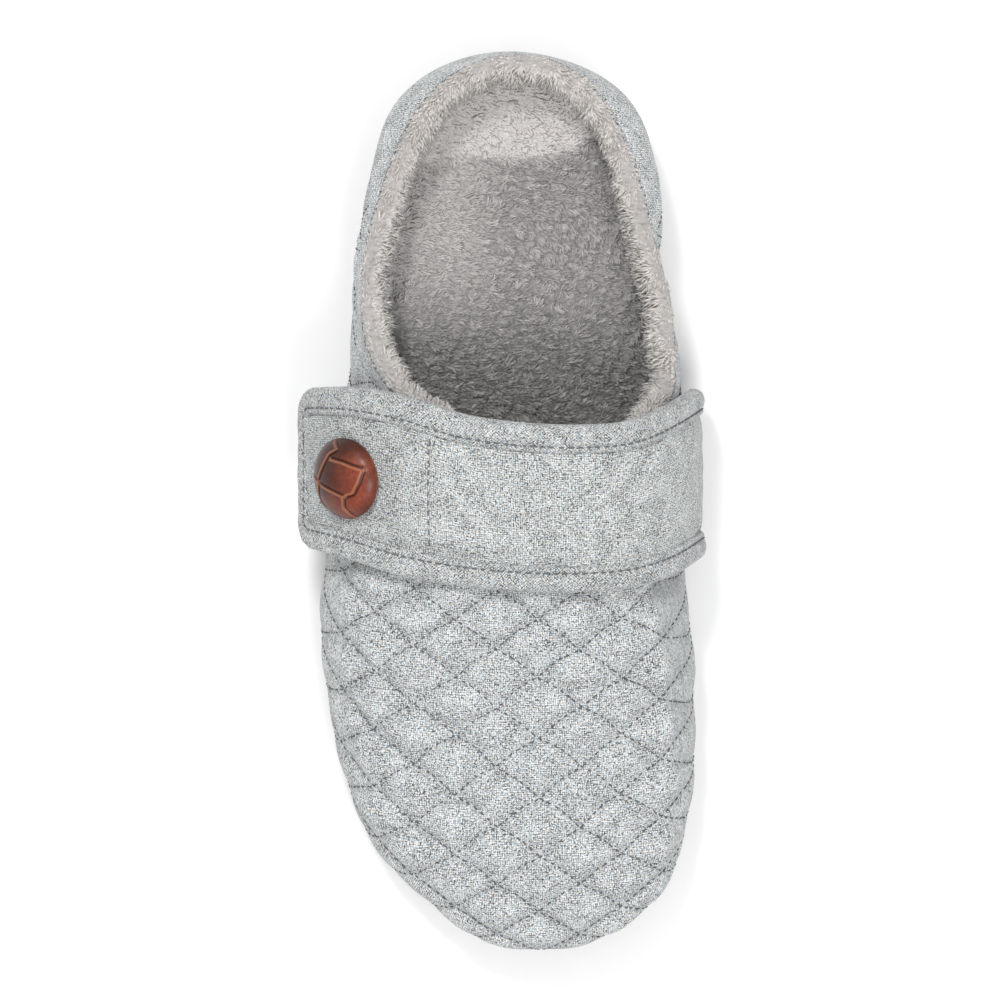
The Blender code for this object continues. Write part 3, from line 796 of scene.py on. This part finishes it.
def tufts(name, base, normal, lean, length, width, looks, shade, curl=0.25, rise_share=1.0):
    """Small tapered locks of pile: three sided, bent towards the lean direction."""
    count = len(base)
    side = unit(np.cross(normal, lean))
    ahead = unit(np.cross(side, normal))
    twist = side * rng.normal(size=(count, 1)) * curl

    def lifted(rise, reach, bend):
        local = normal * (rise * rise_share) + ahead * reach + twist * bend
        return base + local * length[:, None]

    rows = []
    for rise, reach, scale in ((0.0, 0.0, 1.0), (0.50, 0.55, 0.90)):
        centre = lifted(rise, reach, reach)
        for turn in (0.0, 2.1, 4.2):
            arm = np.cos(turn) * side + np.sin(turn) * normal * 0.75
            rows.append(centre + arm * (width * scale / 2)[:, None])
    points = np.stack(rows + [lifted(0.42, 1.12, 1.3)], axis=1)
    shape = []
    for place in range(3):
        after = (place + 1) % 3
        shape += [(place, after, 3 + after), (place, 3 + after, 3 + place), (3 + place, 3 + after, 6)]
    faces = (np.array(shape) + 7 * np.arange(count)[:, None, None]).reshape(-1, 3)
    uv = np.empty((count, 7, 2))
    uv[..., 0] = shade[:, None]
    uv[..., 1] = (0, 0, 0, 0.6, 0.6, 0.6, 1)
    piece(name, points, faces, looks, uv)


def upper_relief(outer, normals, shares, families):
    """Height of the quilting over the smooth form, and the strength of the painted shade along its stitch
    lines.
    """
    rear = smooth(0.030, 0.055, outer[..., 1])
    fade = smooth(0.0, 0.10, shares) * smooth(1.0 - 0.32 * rear, 0.93 - 0.36 * rear, shares)
    fade = fade * smooth(0.105, 0.075, outer[..., 1])
    facing = 0.35 + 0.65 * smooth(0.10, 0.60, np.abs(normals[..., 2]))
    spacing = 1 / np.hypot(1 / QUILT_ACROSS, 1 / QUILT_ALONG)
    one, two = (np.abs(family - np.round(family)) * spacing for family in families)
    full = (1 - np.exp(-one / QUILT_SHOULDER)) * (1 - np.exp(-two / QUILT_SHOULDER))
    relief = QUILT_HEIGHT * full / 0.55 - QUILT_SINK
    # Painted shade beside the stitch lines, faded like the relief and weaker on sides facing +x.
    crease_shade = np.exp(-np.minimum(one, two) / QUILT_CREASE_SHADE)
    crease_shade *= fade * (1.0 - 0.6 * smooth(0.3, 0.8, normals[..., 0]))
    swell = 0.00035 * soft_noise(outer, 0.045, 3) + creases(outer)
    held = smooth(0.0, 0.10, shares) * smooth(1.0, 0.94, shares)
    return relief * fade * facing + swell * held, crease_shade


def upper_rims(angles, looks):
    """Rounded edges that join the upper's outer face to its lining."""
    turn = np.linspace(0, np.pi, 7)[:, None, None]
    flat = np.stack(np.broadcast_arrays(angles * 0.05, turn[..., 0] * 0.0015), axis=-1)
    for number, end in enumerate((np.ones_like(angles), np.zeros_like(angles))):
        top = upper_point(angles, end)
        bottom = upper_inner(angles, end, WALL)
        up = np.zeros_like(top)
        if number:
            bottom[:, 2] = top[:, 2]
        else:
            up = unit(top - upper_point(angles, end - 0.02)) * 0.0002
        ring = (top + bottom) / 2 + (top - bottom) / 2 * np.cos(turn) + up * np.sin(turn)
        grid_piece(f"upper_rim_{number + 1}", ring, looks, flat)


def make_upper(cloth, thread, lining):
    columns, rows, low_rows = 440, 96, 12
    angles = circle(columns)
    low = np.linspace(0, WIDEST_SHARE, low_rows + 1)[:-1]
    high = WIDEST_SHARE + (1 - WIDEST_SHARE) * np.linspace(0, 1, rows - low_rows)
    grid_angles, grid_shares = np.meshgrid(angles, np.concatenate([low, high]))
    outer = upper_point(grid_angles, grid_shares)
    normals = grid_normals(outer)
    flat = unrolled(outer)
    away = np.linalg.norm(outer[..., :2] - QUILT_CENTRE, axis=-1)
    nearest = np.argmin(away + 10 * (outer[..., 2] < 0.05))
    families = quilt_lines(flat, flat.reshape(-1, 2)[nearest])
    relief, crease_shade = upper_relief(outer, normals, grid_shares, families)
    skin = outer + normals * relief[..., None]
    climb = run_along(outer)
    side_map = np.stack([np.broadcast_to(run_along(outer[low_rows]), climb.shape), climb], axis=-1)
    wall = smooth(0.80, 0.50, np.abs(normals[..., 2]))
    faces = grid_faces(rows, columns)[:, ::-1]
    made = piece("upper_quilted", skin, faces, cloth, flat, side_map, valley=crease_shade, wall=wall)
    upper_rims(angles, cloth)
    grid_piece("upper_lining", upper_inner(grid_angles[::3, ::2], grid_shares[::3, ::2], WALL), lining)
    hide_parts("upper")
    chains = []
    keep = slice(4, rows - 3)
    for family in families:
        for at, up in whole_lines(family[keep], skin[keep], normals[keep]):
            low = (at[:, 1] < 0.035) | ((at[:, 2] < 0.040) & (at[:, 1] < 0.088))
            if low.sum() > 12:
                chains.append((at[low], up[low]))
    dashes("quilt_stitches", chains, thread, STITCH_PITCH, STITCH_LENGTH, STITCH_RADIUS, 0.00012)


def creases(points):
    """Soft troughs and swells, given one by one, as heights over the smooth form."""
    height = np.zeros(points.shape[:-1])
    folds = (
        # start x, y, end x, y, height, half width
        (-0.030, -0.040, 0.012, -0.052, -0.0006, 0.008),
        (0.020, -0.075, 0.050, -0.060, -0.0006, 0.007),
        (-0.044, -0.060, -0.020, -0.085, -0.0005, 0.007),
        (0.000, -0.100, 0.030, -0.104, 0.0006, 0.012),
        (-0.029, -0.109, -0.010, -0.124, 0.0015, 0.012),
        (-0.047, 0.060, -0.043, 0.030, -0.0007, 0.006),
        (0.049, 0.075, 0.052, 0.045, -0.0007, 0.006),
    )
    for x0, y0, x1, y1, rise, width in folds:
        start = np.array((x0, y0))
        way = np.array((x1, y1)) - start
        share = np.clip(((points[..., :2] - start) @ way) / (way @ way), 0, 1)
        away = np.linalg.norm(points[..., :2] - start - share[..., None] * way, axis=-1)
        height += rise * np.exp(-(away / width) ** 2)
    return height


def insole_sides(y):
    station = station_of(y)
    return outline_x(station, True) + INSOLE_INSET, outline_x(station, False) - INSOLE_INSET


def insole_height(x, y):
    """Top of the footbed over a plan point, cupped across and raised towards the heel."""
    left, right = insole_sides(y)
    across = np.clip((x - left) / np.maximum(right - left, 1e-6), 0, 1)
    low = sole_top(station_of(y)) + GAP + INSOLE_THICKNESS
    cup = HEEL_CUP_RISE * smooth(HEEL_CUP_FOOT * LENGTH, HEEL_CUP_TOP * LENGTH, y)
    return low - INSOLE_CUP * 4 * across * (1 - across) + cup


def make_insole(ground, pile):
    columns, rings = 240, 26
    angles = circle(columns)
    edge = outline(angles, np.full(columns, INSOLE_INSET + 0.0008))
    x, y = edge.T
    middle = np.stack([0.004 + 0.003 * smooth(0.05, -0.05, y), y * 0.93], axis=-1)
    layers = [
        np.column_stack([edge, sole_top(station_of(y)) + GAP]),
        np.column_stack([edge, insole_height(x, y) - 0.0016]),
    ]
    for share in np.linspace(0.0, 1.0, rings) ** 0.8:
        plan = edge + (middle - edge) * (0.012 + 0.988 * share)
        top = insole_height(*plan.T) - 0.0010 * (share < 0.01)
        layers.append(np.column_stack([plan, top - 0.0006]))
    layers = np.array(layers)
    # The footbed's ground gets the painted light and shade as a field.
    bed = grid_piece("insole_bed", layers, ground, shade=insole_painted_light(layers))
    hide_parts("insole")
    for number in (1, 2):
        insole_pile(f"insole_pile_{number}", pile)


def insole_pile(name, pile):
    """Short nap lying mostly crosswise; dense where the opening shows it, thin under the vamp."""
    x = rng.uniform(-0.052, 0.056, BED_TRIES)
    y = rng.uniform(-0.1265, 0.1265, BED_TRIES)
    left, right = insole_sides(y)
    shown = 0.10 + 0.90 * smooth(0.0, 0.016, y)
    keep = (x > left + 0.0015) & (x < right - 0.0015) & (rng.uniform(size=BED_TRIES) < shown)
    spots = np.column_stack([x[keep], y[keep]])[:BED_LOCKS]
    count = len(spots)
    clump = soft_noise(spots * (1.0, 2.0), 0.0060, 11)
    base = np.column_stack([spots, insole_height(*spots.T) - 0.0009 + 0.00025 * clump])
    step = np.array((0.002, 0.0))
    slopes = []
    for way in (step, step[::-1]):
        rise = insole_height(*(spots + way).T) - insole_height(*(spots - way).T)
        slopes.append(-rise / (2 * step[0]))
    normal = unit(np.column_stack(slopes + [np.ones(count)]))
    swirl = soft_noise(spots, 0.030, 8) * 0.5 + soft_noise(spots, 0.006, 9) * 0.7
    heading = 0.15 + 0.8 * soft_noise(spots, 0.045, 7) + swirl
    lean = unit(np.column_stack([np.cos(heading), np.sin(heading) * 0.7 - 0.20, np.zeros(count)]))
    length = BED_PILE * (1.0 + 0.15 * clump + 0.15 * rng.normal(size=count)).clip(0.5, 1.5)
    width = PILE_WIDTH * (0.9 + 0.2 * rng.normal(size=count)).clip(0.5, 1.4)
    # Painted light and shade: the footbed's zones, darker in the troughs between clumps, plus random
    # variation.
    painted_shading = insole_painted_light(spots)
    shade = (painted_shading + (1.25 - painted_shading) * (0.16 * clump + 0.13 * rng.normal(size=count))).clip(0, 1.6)
    tufts(name, base, normal, lean, length, width, pile, shade, rise_share=0.42)


def insole_painted_light(spots):
    """Painted light and shade on the footbed: lighter at the heel and the outer side, darker ahead towards
    the strap.
    """
    x = spots[..., 0]
    y = spots[..., 1]
    bend = 0.0015 * soft_noise(spots[..., :2], 0.02, 41)
    heel = smooth(0.0995, 0.1035, y + bend - 0.9 * np.clip(x - 0.020, 0.0, None))
    outer = smooth(0.004, -0.016, x + bend) * smooth(0.035, 0.080, y)
    ahead = smooth(0.070, 0.022, y)
    return 0.30 + 0.78 * heel + (1 - heel) * (0.30 * outer - 0.15 * ahead)


def rounded(section, places):
    """Points of a smooth closed curve through a section's corners."""
    number = places.astype(int)
    t = (places - number)[:, None]
    before, here, after, beyond = (section[(number + shift) % len(section)] for shift in (-1, 0, 1, 2))
    square = (2 * before - 5 * here + 4 * after - beyond) * t**2
    cube = (3 * here - before - 3 * after + beyond) * t**3
    return 0.5 * (2 * here + (after - before) * t + square + cube)


def make_collar(ground, pile):
    columns, sides = 300, 32
    angles = spoke_of(circle(columns))
    places = np.linspace(0, len(CUFF_SECTION), sides + 1)[:-1]
    section = rounded(np.array(CUFF_SECTION), places)
    rings = np.array([cuff_ring(angle, section) for angle in angles])
    out = unit(rings - rings.mean(axis=1, keepdims=True))
    free = (smooth(0.2, 1.0, places) * smooth(8.8, 7.8, places))[:, None]
    rings = rings + out * free * (0.0005 * soft_noise(rings, 0.012, 12))[..., None]
    faces = (grid_faces(columns + 1, sides) % (columns * sides))[:, (0, 3, 2, 1)]
    roll = piece("collar_roll", rings, faces, ground)
    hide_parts("collar_cuff")
    count = ROLL_LOCKS
    column = rng.uniform(0, columns, count)
    bands = ((0.2, 8.2, 1.0), (0.3, 4.5, 1.0), (0.3, 2.2, 1.2))
    weights = sum(((places > low) & (places < high)) * share for low, high, share in bands)
    row = rng.choice(sides, count, p=weights / weights.sum()) + rng.uniform(-0.5, 0.5, count)
    low_c = np.floor(column).astype(int)
    t_c = (column - low_c)[:, None]
    low_r = np.floor(row).astype(int)
    t_r = (row - low_r)[:, None]

    def sample(grid):
        one, two = (
            grid[at % columns, low_r % sides] * (1 - t_r) + grid[at % columns, (low_r + 1) % sides] * t_r
            for at in (low_c, low_c + 1)
        )
        return one * (1 - t_c) + two * t_c

    base = sample(rings)
    normal = unit(sample(out))
    flow = unit((ROLL_MIDDLE - base) * (1.0, 1.0, 0.0))
    run = unit(np.cross(flow, (0.0, 0.0, 1.0)))
    swirl = soft_noise(base[:, :2], 0.012, 14)[:, None]
    curly = smooth(0.0, 0.03, base[:, 0])[:, None]
    outward = smooth(2.2, 0.5, np.interp(row, np.arange(sides), places))[:, None]
    curl = swirl * (0.35 + 0.65 * curly) + 1.2 * outward * rng.normal(size=(count, 1))
    lean = unit(flow * (1.0 - 0.9 * outward) + run * curl + normal * (0.1 + 0.5 * outward))
    clump = soft_noise(base, 0.006, 15)
    inner_side = smooth(0.3, -0.5, normal[:, 2])
    length = (0.90 + 0.22 * clump + 0.15 * rng.normal(size=count) - 0.50 * inner_side).clip(0.3, 1.5)
    length *= ROLL_PILE * (1.0 - 0.48 * outward[:, 0])
    width = PILE_WIDTH * (1.05 + 0.2 * rng.normal(size=count)).clip(0.6, 1.6)
    shade = (0.55 + 0.18 * clump + 0.18 * rng.normal(size=count)).clip(0, 1)
    base = base - normal * 0.0008
    tufts("collar_pile", base, normal, lean, length, width, pile, shade, curl=0.35, rise_share=0.7)


def cuff_ring(angle, section):
    """One ring of the collar roll, as the solid's own section is laid."""
    shares = np.linspace(0.4, 1.0, 61)
    spoke = upper_point(angle, shares)
    run = run_along(spoke)
    rise = section[:, 1] * np.where(section[:, 1] > 0, CUFF_RISE, CUFF_DROP)
    share = np.interp(run[-1] + np.minimum(rise, 0.0), run, shares)
    inward = -outward_normals(angle, share) * (section[:, 0] * CUFF_WIDTH)[:, None]
    up = unit(spoke[-1] - spoke[-2])
    return upper_point(angle, share) + inward + up * np.maximum(rise, 0.0)[:, None]


def make_lining(pile):
    """Pile on the inner wall, between the collar roll and the footbed."""
    count = LINING_LOCKS
    angles = spoke_of(rng.uniform(-0.70 * np.pi, 0.70 * np.pi, count))
    shares = rng.uniform(0.10, 0.80, count)
    base = upper_inner(angles, shares, WALL)
    normal = -outward_normals(angles, shares)
    lean = unit((0.0, 0.0, -1.0) + 0.4 * rng.normal(size=(count, 3)))
    clump = soft_noise(base, 0.007, 17)
    length = BED_PILE * 1.3 * (0.9 + 0.2 * clump + 0.1 * rng.normal(size=count)).clip(0.5, 1.4)
    width = PILE_WIDTH * np.full(count, 1.15)
    shade = (0.5 + 0.2 * clump + 0.2 * rng.normal(size=count)).clip(0, 1)
    keep = base[:, 2] > insole_height(*base.T[:2]) - 0.002
    base, normal, lean, length, width, shade = (
        values[keep] for values in (base, normal, lean, length, width, shade)
    )
    tufts("lining_pile", base, normal, lean, length, width, pile, shade)


def make_strap(cloth, thread):
    edge = BINDING_CLOTH + GAP
    round_part = edge + (STRAP_CORNER - edge) * (1 - np.cos(np.radians(np.linspace(0, 90, 12))))
    along = np.concatenate([round_part, np.linspace(STRAP_CORNER, STRAP_END, 170)[1:]])[:, None]
    corner = np.clip(STRAP_CORNER - along, 0.0, STRAP_CORNER - edge)
    half = STRAP_HALF_WIDTH - STRAP_CORNER + np.sqrt((STRAP_CORNER - edge) ** 2 - corner**2)
    aside = np.linspace(-1, 1, 61) * half
    along = along + np.zeros_like(aside)
    spots = np.stack([along, aside], axis=-1)
    inside = np.clip((half - BINDING_WIDTH + 0.001 - np.abs(aside)) / 0.006, 0, 1)
    past_seam = along - seam_place(aside)
    puff = 0.0009 * (1 - (1 - inside) ** 2) + strap_waves(spots)
    puff -= 0.0005 * np.exp(-(past_seam / 0.0011) ** 2) * (inside > 0)
    inner = strap_point(along, aside, -STRAP_THICKNESS)
    rings = np.concatenate([strap_point(along, aside, puff), inner[:, ::-1]], axis=1)
    # Painted shade on the strap from near its lateral end up to the seam, where its slope turns from the
    # light.
    painted_shading = 0.55 * smooth(0.0, 0.012, along) * smooth(0.004, -0.012, past_seam)
    flat, painted_shading = (np.concatenate([grid, grid[:, ::-1]], axis=1) for grid in (spots, painted_shading))
    made = grid_piece("strap_cloth", rings, cloth, flat, valley=painted_shading)
    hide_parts("strap")
    chains = []
    reach = STRAP_HALF_WIDTH - BINDING_WIDTH - 0.001
    run = np.linspace(-reach, reach, 40)
    for shift, lift in ((0.0, 0.0), (0.0014, -0.0002)):
        place = seam_place(run) + shift
        level = 0.0006 + lift + strap_waves(np.stack([place, run], axis=-1))
        chains.append((strap_point(place, run, level), strap_up(place, run)))
    dashes("strap_seam_stitches", chains, thread, 0.0030, 0.0017, 0.00026, 0.0)


def seam_place(aside):
    """Where the strap's bowed cross seam lies along it."""
    return STRAP_SEAM - 0.0012 * (1 - (aside / STRAP_HALF_WIDTH) ** 2)


def strap_waves(spots):
    """Soft dents of the strap, in two sizes."""
    return 0.00025 * soft_noise(spots, 0.030, 21) + 0.00012 * soft_noise(spots, 0.010, 22)


def strap_up(along, aside):
    return unit(strap_point(along, aside, 1.0) - strap_point(along, aside, 0.0))


def make_binding(cloth, thread):
    over = GAP + BINDING_CLOTH
    under = -STRAP_THICKNESS - over
    stitch_line = BINDING_WIDTH - 0.0019
    section = (
        # inwards from the edge, over the strap's face
        (BINDING_WIDTH, 0.0002),
        (BINDING_WIDTH - 0.0003, over - 0.0002),
        (BINDING_WIDTH - 0.0012, over + 0.0002),
        (stitch_line, over - 0.0003),
        (BINDING_WIDTH - 0.0026, over + 0.0003),
        (BINDING_WIDTH - 0.0042, over + 0.0007),
        (0.0028, over + 0.0006),
        (0.0014, over + 0.0002),
        (0.0004, GAP),
        (0.0, -0.0008),
        (0.0, -STRAP_THICKNESS + 0.0006),
        (0.0010, under),
        (BINDING_WIDTH - 0.0008, under),
        (BINDING_WIDTH, -STRAP_THICKNESS - 0.0002),
    )
    path = binding_path(260)
    along, aside, one, two = path.T[..., None]
    number = np.arange(len(path))[:, None]
    jitter = 1 + 0.10 * np.sin(number * 0.9) * np.sin(number * 0.37)
    depths, lifts = np.array(section).T
    lifts = lifts * np.where(lifts > over, jitter, 1.0)
    rings = strap_point(along + one * depths, aside + two * depths, lifts)
    around = run_along(rings.swapaxes(0, 1)).T
    run = np.broadcast_to(run_along(rings[:, 6])[:, None], around.shape)
    made = grid_piece("strap_binding_cloth", rings, cloth, np.stack([run, around], axis=-1))
    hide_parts("strap_binding")
    spots = (along + one * stitch_line)[:, 0], (aside + two * stitch_line)[:, 0]
    chain = (strap_point(*spots, over + 0.0001), strap_up(*spots))
    dashes("binding_stitches", [chain], thread, 0.0027, 0.0017, 0.00028, 0.0)


# Grooves between the button's leather strips, as plan places in shares of its radius.
BUTTON_LINES = (
    ((-0.975, 0.222), (-0.554, -0.035), (0.253, -0.360)),
    ((-0.088, 0.975), (0.133, 0.760), (0.032, 0.691), (-0.151, 0.605), (-0.572, -0.005)),
    ((-0.070, 0.563), (0.300, 0.480), (0.839, 0.264)),
    ((0.839, 0.207), (0.716, -0.104), (0.537, -0.360), (0.253, -0.430), (0.172, -0.672), (0.312, -0.928)),
    ((-0.554, -0.077), (-0.695, -0.459), (-0.614, -0.657)),
)


def button_weave(a, b):
    """Strength of the button's grooves, and of the raised edge beside each, which also carries a painted
    highlight, over its plan.
    """
    groove = np.zeros_like(a)
    raised_edge_and_highlight = np.zeros_like(a)
    for line in BUTTON_LINES:
        line = np.array(line)
        best = np.full(a.shape, 9.0)
        signed = np.zeros_like(a)
        for one, two in zip(line[:-1], line[1:]):
            way = two - one
            share = np.clip(((a - one[0]) * way[0] + (b - one[1]) * way[1]) / (way @ way), 0, 1)
            dx = a - one[0] - share * way[0]
            dy = b - one[1] - share * way[1]
            away = np.hypot(dx, dy)
            nearer = away < best
            best = np.where(nearer, away, best)
            signed = np.where(nearer, np.sign(dx * way[1] - dy * way[0]), signed)
        groove = np.maximum(groove, np.exp(-(best / 0.026) ** 2))
        raised_edge_and_highlight = np.maximum(raised_edge_and_highlight, np.exp(-((best - 0.055) / 0.026) ** 2) * (signed > 0))
    return groove, raised_edge_and_highlight


def make_button(looks):
    reach = (STRAP_CREST_X - BUTTON_ACROSS * STRAP_REACH) / (STRAP_REACH + STRAP_CREST_X)
    angle = np.arccos((reach * STRAP_START_WIDTH) ** (STRAP_POWER / 2))
    along = np.interp(angle, STRAP_ANGLE, STRAP_RUN)
    back, front = (column(STRAP_EDGES, number, BUTTON_ACROSS) for number in (1, 2))
    aside = ((back - BUTTON_ALONG) / (back - front) - 0.5) * 2 * STRAP_HALF_WIDTH
    centre = strap_point(along, aside, GAP)
    normal = strap_up(along, aside)
    right = unit(np.cross((0.0, 1.0, 0.0), normal))
    ahead = np.cross(normal, right)
    edge = 0.33 * BUTTON_HEIGHT
    dome_shares = np.linspace(1.0, 0.0, 84) ** 0.8
    dome_heights = edge + (BUTTON_HEIGHT - edge) * (1 - dome_shares**2.3) ** 0.62
    shares = np.concatenate([[0.70, 0.90, 0.97], dome_shares])[:, None]
    heights = np.concatenate([[0.0, 0.0004, 0.0012], dome_heights])[:, None]
    turns = circle(180)
    a = shares * np.cos(turns)
    b = shares * np.sin(turns)
    groove, raised_edge_and_highlight = button_weave(a, b)
    top = (shares > 0) * np.ones_like(a)
    top[:3] = 0
    relief = (-0.00055 * groove + 0.00022 * raised_edge_and_highlight) * top
    plan = a[..., None] * right + b[..., None] * ahead
    body = centre + BUTTON_DIAMETER / 2 * plan + (heights + relief)[..., None] * normal
    rim = smooth(0.72, 1.0, shares) * 0.45
    # The second channel is a painted highlight along each raised edge.
    paint = np.stack([np.clip(groove * 1.1 + rim, 0, 0.9) * top, 0.42 * raised_edge_and_highlight * top], axis=-1)
    # Painted light and shade: darker towards the heel and lateral side, lighter towards the toe and medial
    # side.
    patina = 0.24 + 1.05 * smooth(-0.5, 1.0, a - 0.5 * b)
    made = grid_piece("button_leather", body, looks, paint, patina=patina)
    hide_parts("button")


def place_camera():
    data = bpy.data.cameras.new("camera")
    data.sensor_width = SENSOR
    data.lens = SENSOR * (CAMERA_HEIGHT - OUTLINE_PLANE) / PHOTO_SPAN
    data.clip_end = 20.0
    camera = add_object("camera", data)
    camera.location = (-PHOTO_SPAN / 1000, 0.0, CAMERA_HEIGHT)
    bpy.context.scene.camera = camera


def light(name, place, size, power):
    data = bpy.data.lights.new(name, "AREA")
    data.shape = "DISK"
    data.size = size
    data.energy = power
    made = add_object(name, data)
    made.location = place
    made.rotation_euler = (LIGHT_AIM - Vector(place)).to_track_quat("-Z", "Y").to_euler()


def place_studio():
    scene = bpy.context.scene
    scene.view_settings.view_transform = "Standard"
    scene.world = bpy.data.worlds.new("studio")
    scene.world.use_nodes = True
    background = scene.world.node_tree.nodes["Background"]
    background.inputs[0].default_value = (1, 1, 1, 1)
    background.inputs[1].default_value = SURROUND
    for row in LIGHTS:
        light(*row)
    mesh = bpy.data.meshes.new("floor")
    corners = [(x, y, FLOOR_LEVEL) for x, y in ((-4, -4), (4, -4), (4, 4), (-4, 4))]
    mesh.from_pydata(corners, [], [(0, 1, 2, 3)])
    mesh.materials.append(plain("floor_white", (0.97, 0.97, 0.97), 0.9, 0.1))
    add_object("floor", mesh)


def main():
    place_camera()
    place_studio()
    grey_wool = wool("heather_wool", (0.430, 0.445, 0.451), contrast=1.30, has_side=True)
    strap_wool = wool("strap_wool", (0.404, 0.417, 0.417), contrast=1.25)
    bias_wool = wool("bias_wool", (0.378, 0.390, 0.392), turn=np.pi / 4, contrast=1.30)
    thread = plain("grey_thread", (0.090, 0.095, 0.102), 0.9, 0.2)
    strap_thread = plain("strap_thread", (0.130, 0.135, 0.140), 0.9, 0.2)
    pile = plush("plush_pile", (0.275, 0.257, 0.245), (0.640, 0.607, 0.575), 0.46)
    bed_pile = plush("plush_insole_pile", (0.300, 0.287, 0.283), (0.465, 0.446, 0.438), 1.1)
    ground = fleece_ground("plush_ground", (0.40, 0.38, 0.37))
    bed_ground = fleece_ground("plush_bed_ground", (0.40, 0.385, 0.378), True)
    make_upper(grey_wool, thread, ground)
    make_insole(bed_ground, bed_pile)
    make_collar(ground, pile)
    make_lining(pile)
    make_strap(strap_wool, strap_thread)
    make_binding(bias_wool, strap_thread)
    make_button(leather("brown_leather"))
    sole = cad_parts["outsole"]
    sole.data.materials.clear()
    sole.data.materials.append(rubber("grey_rubber"))


main()
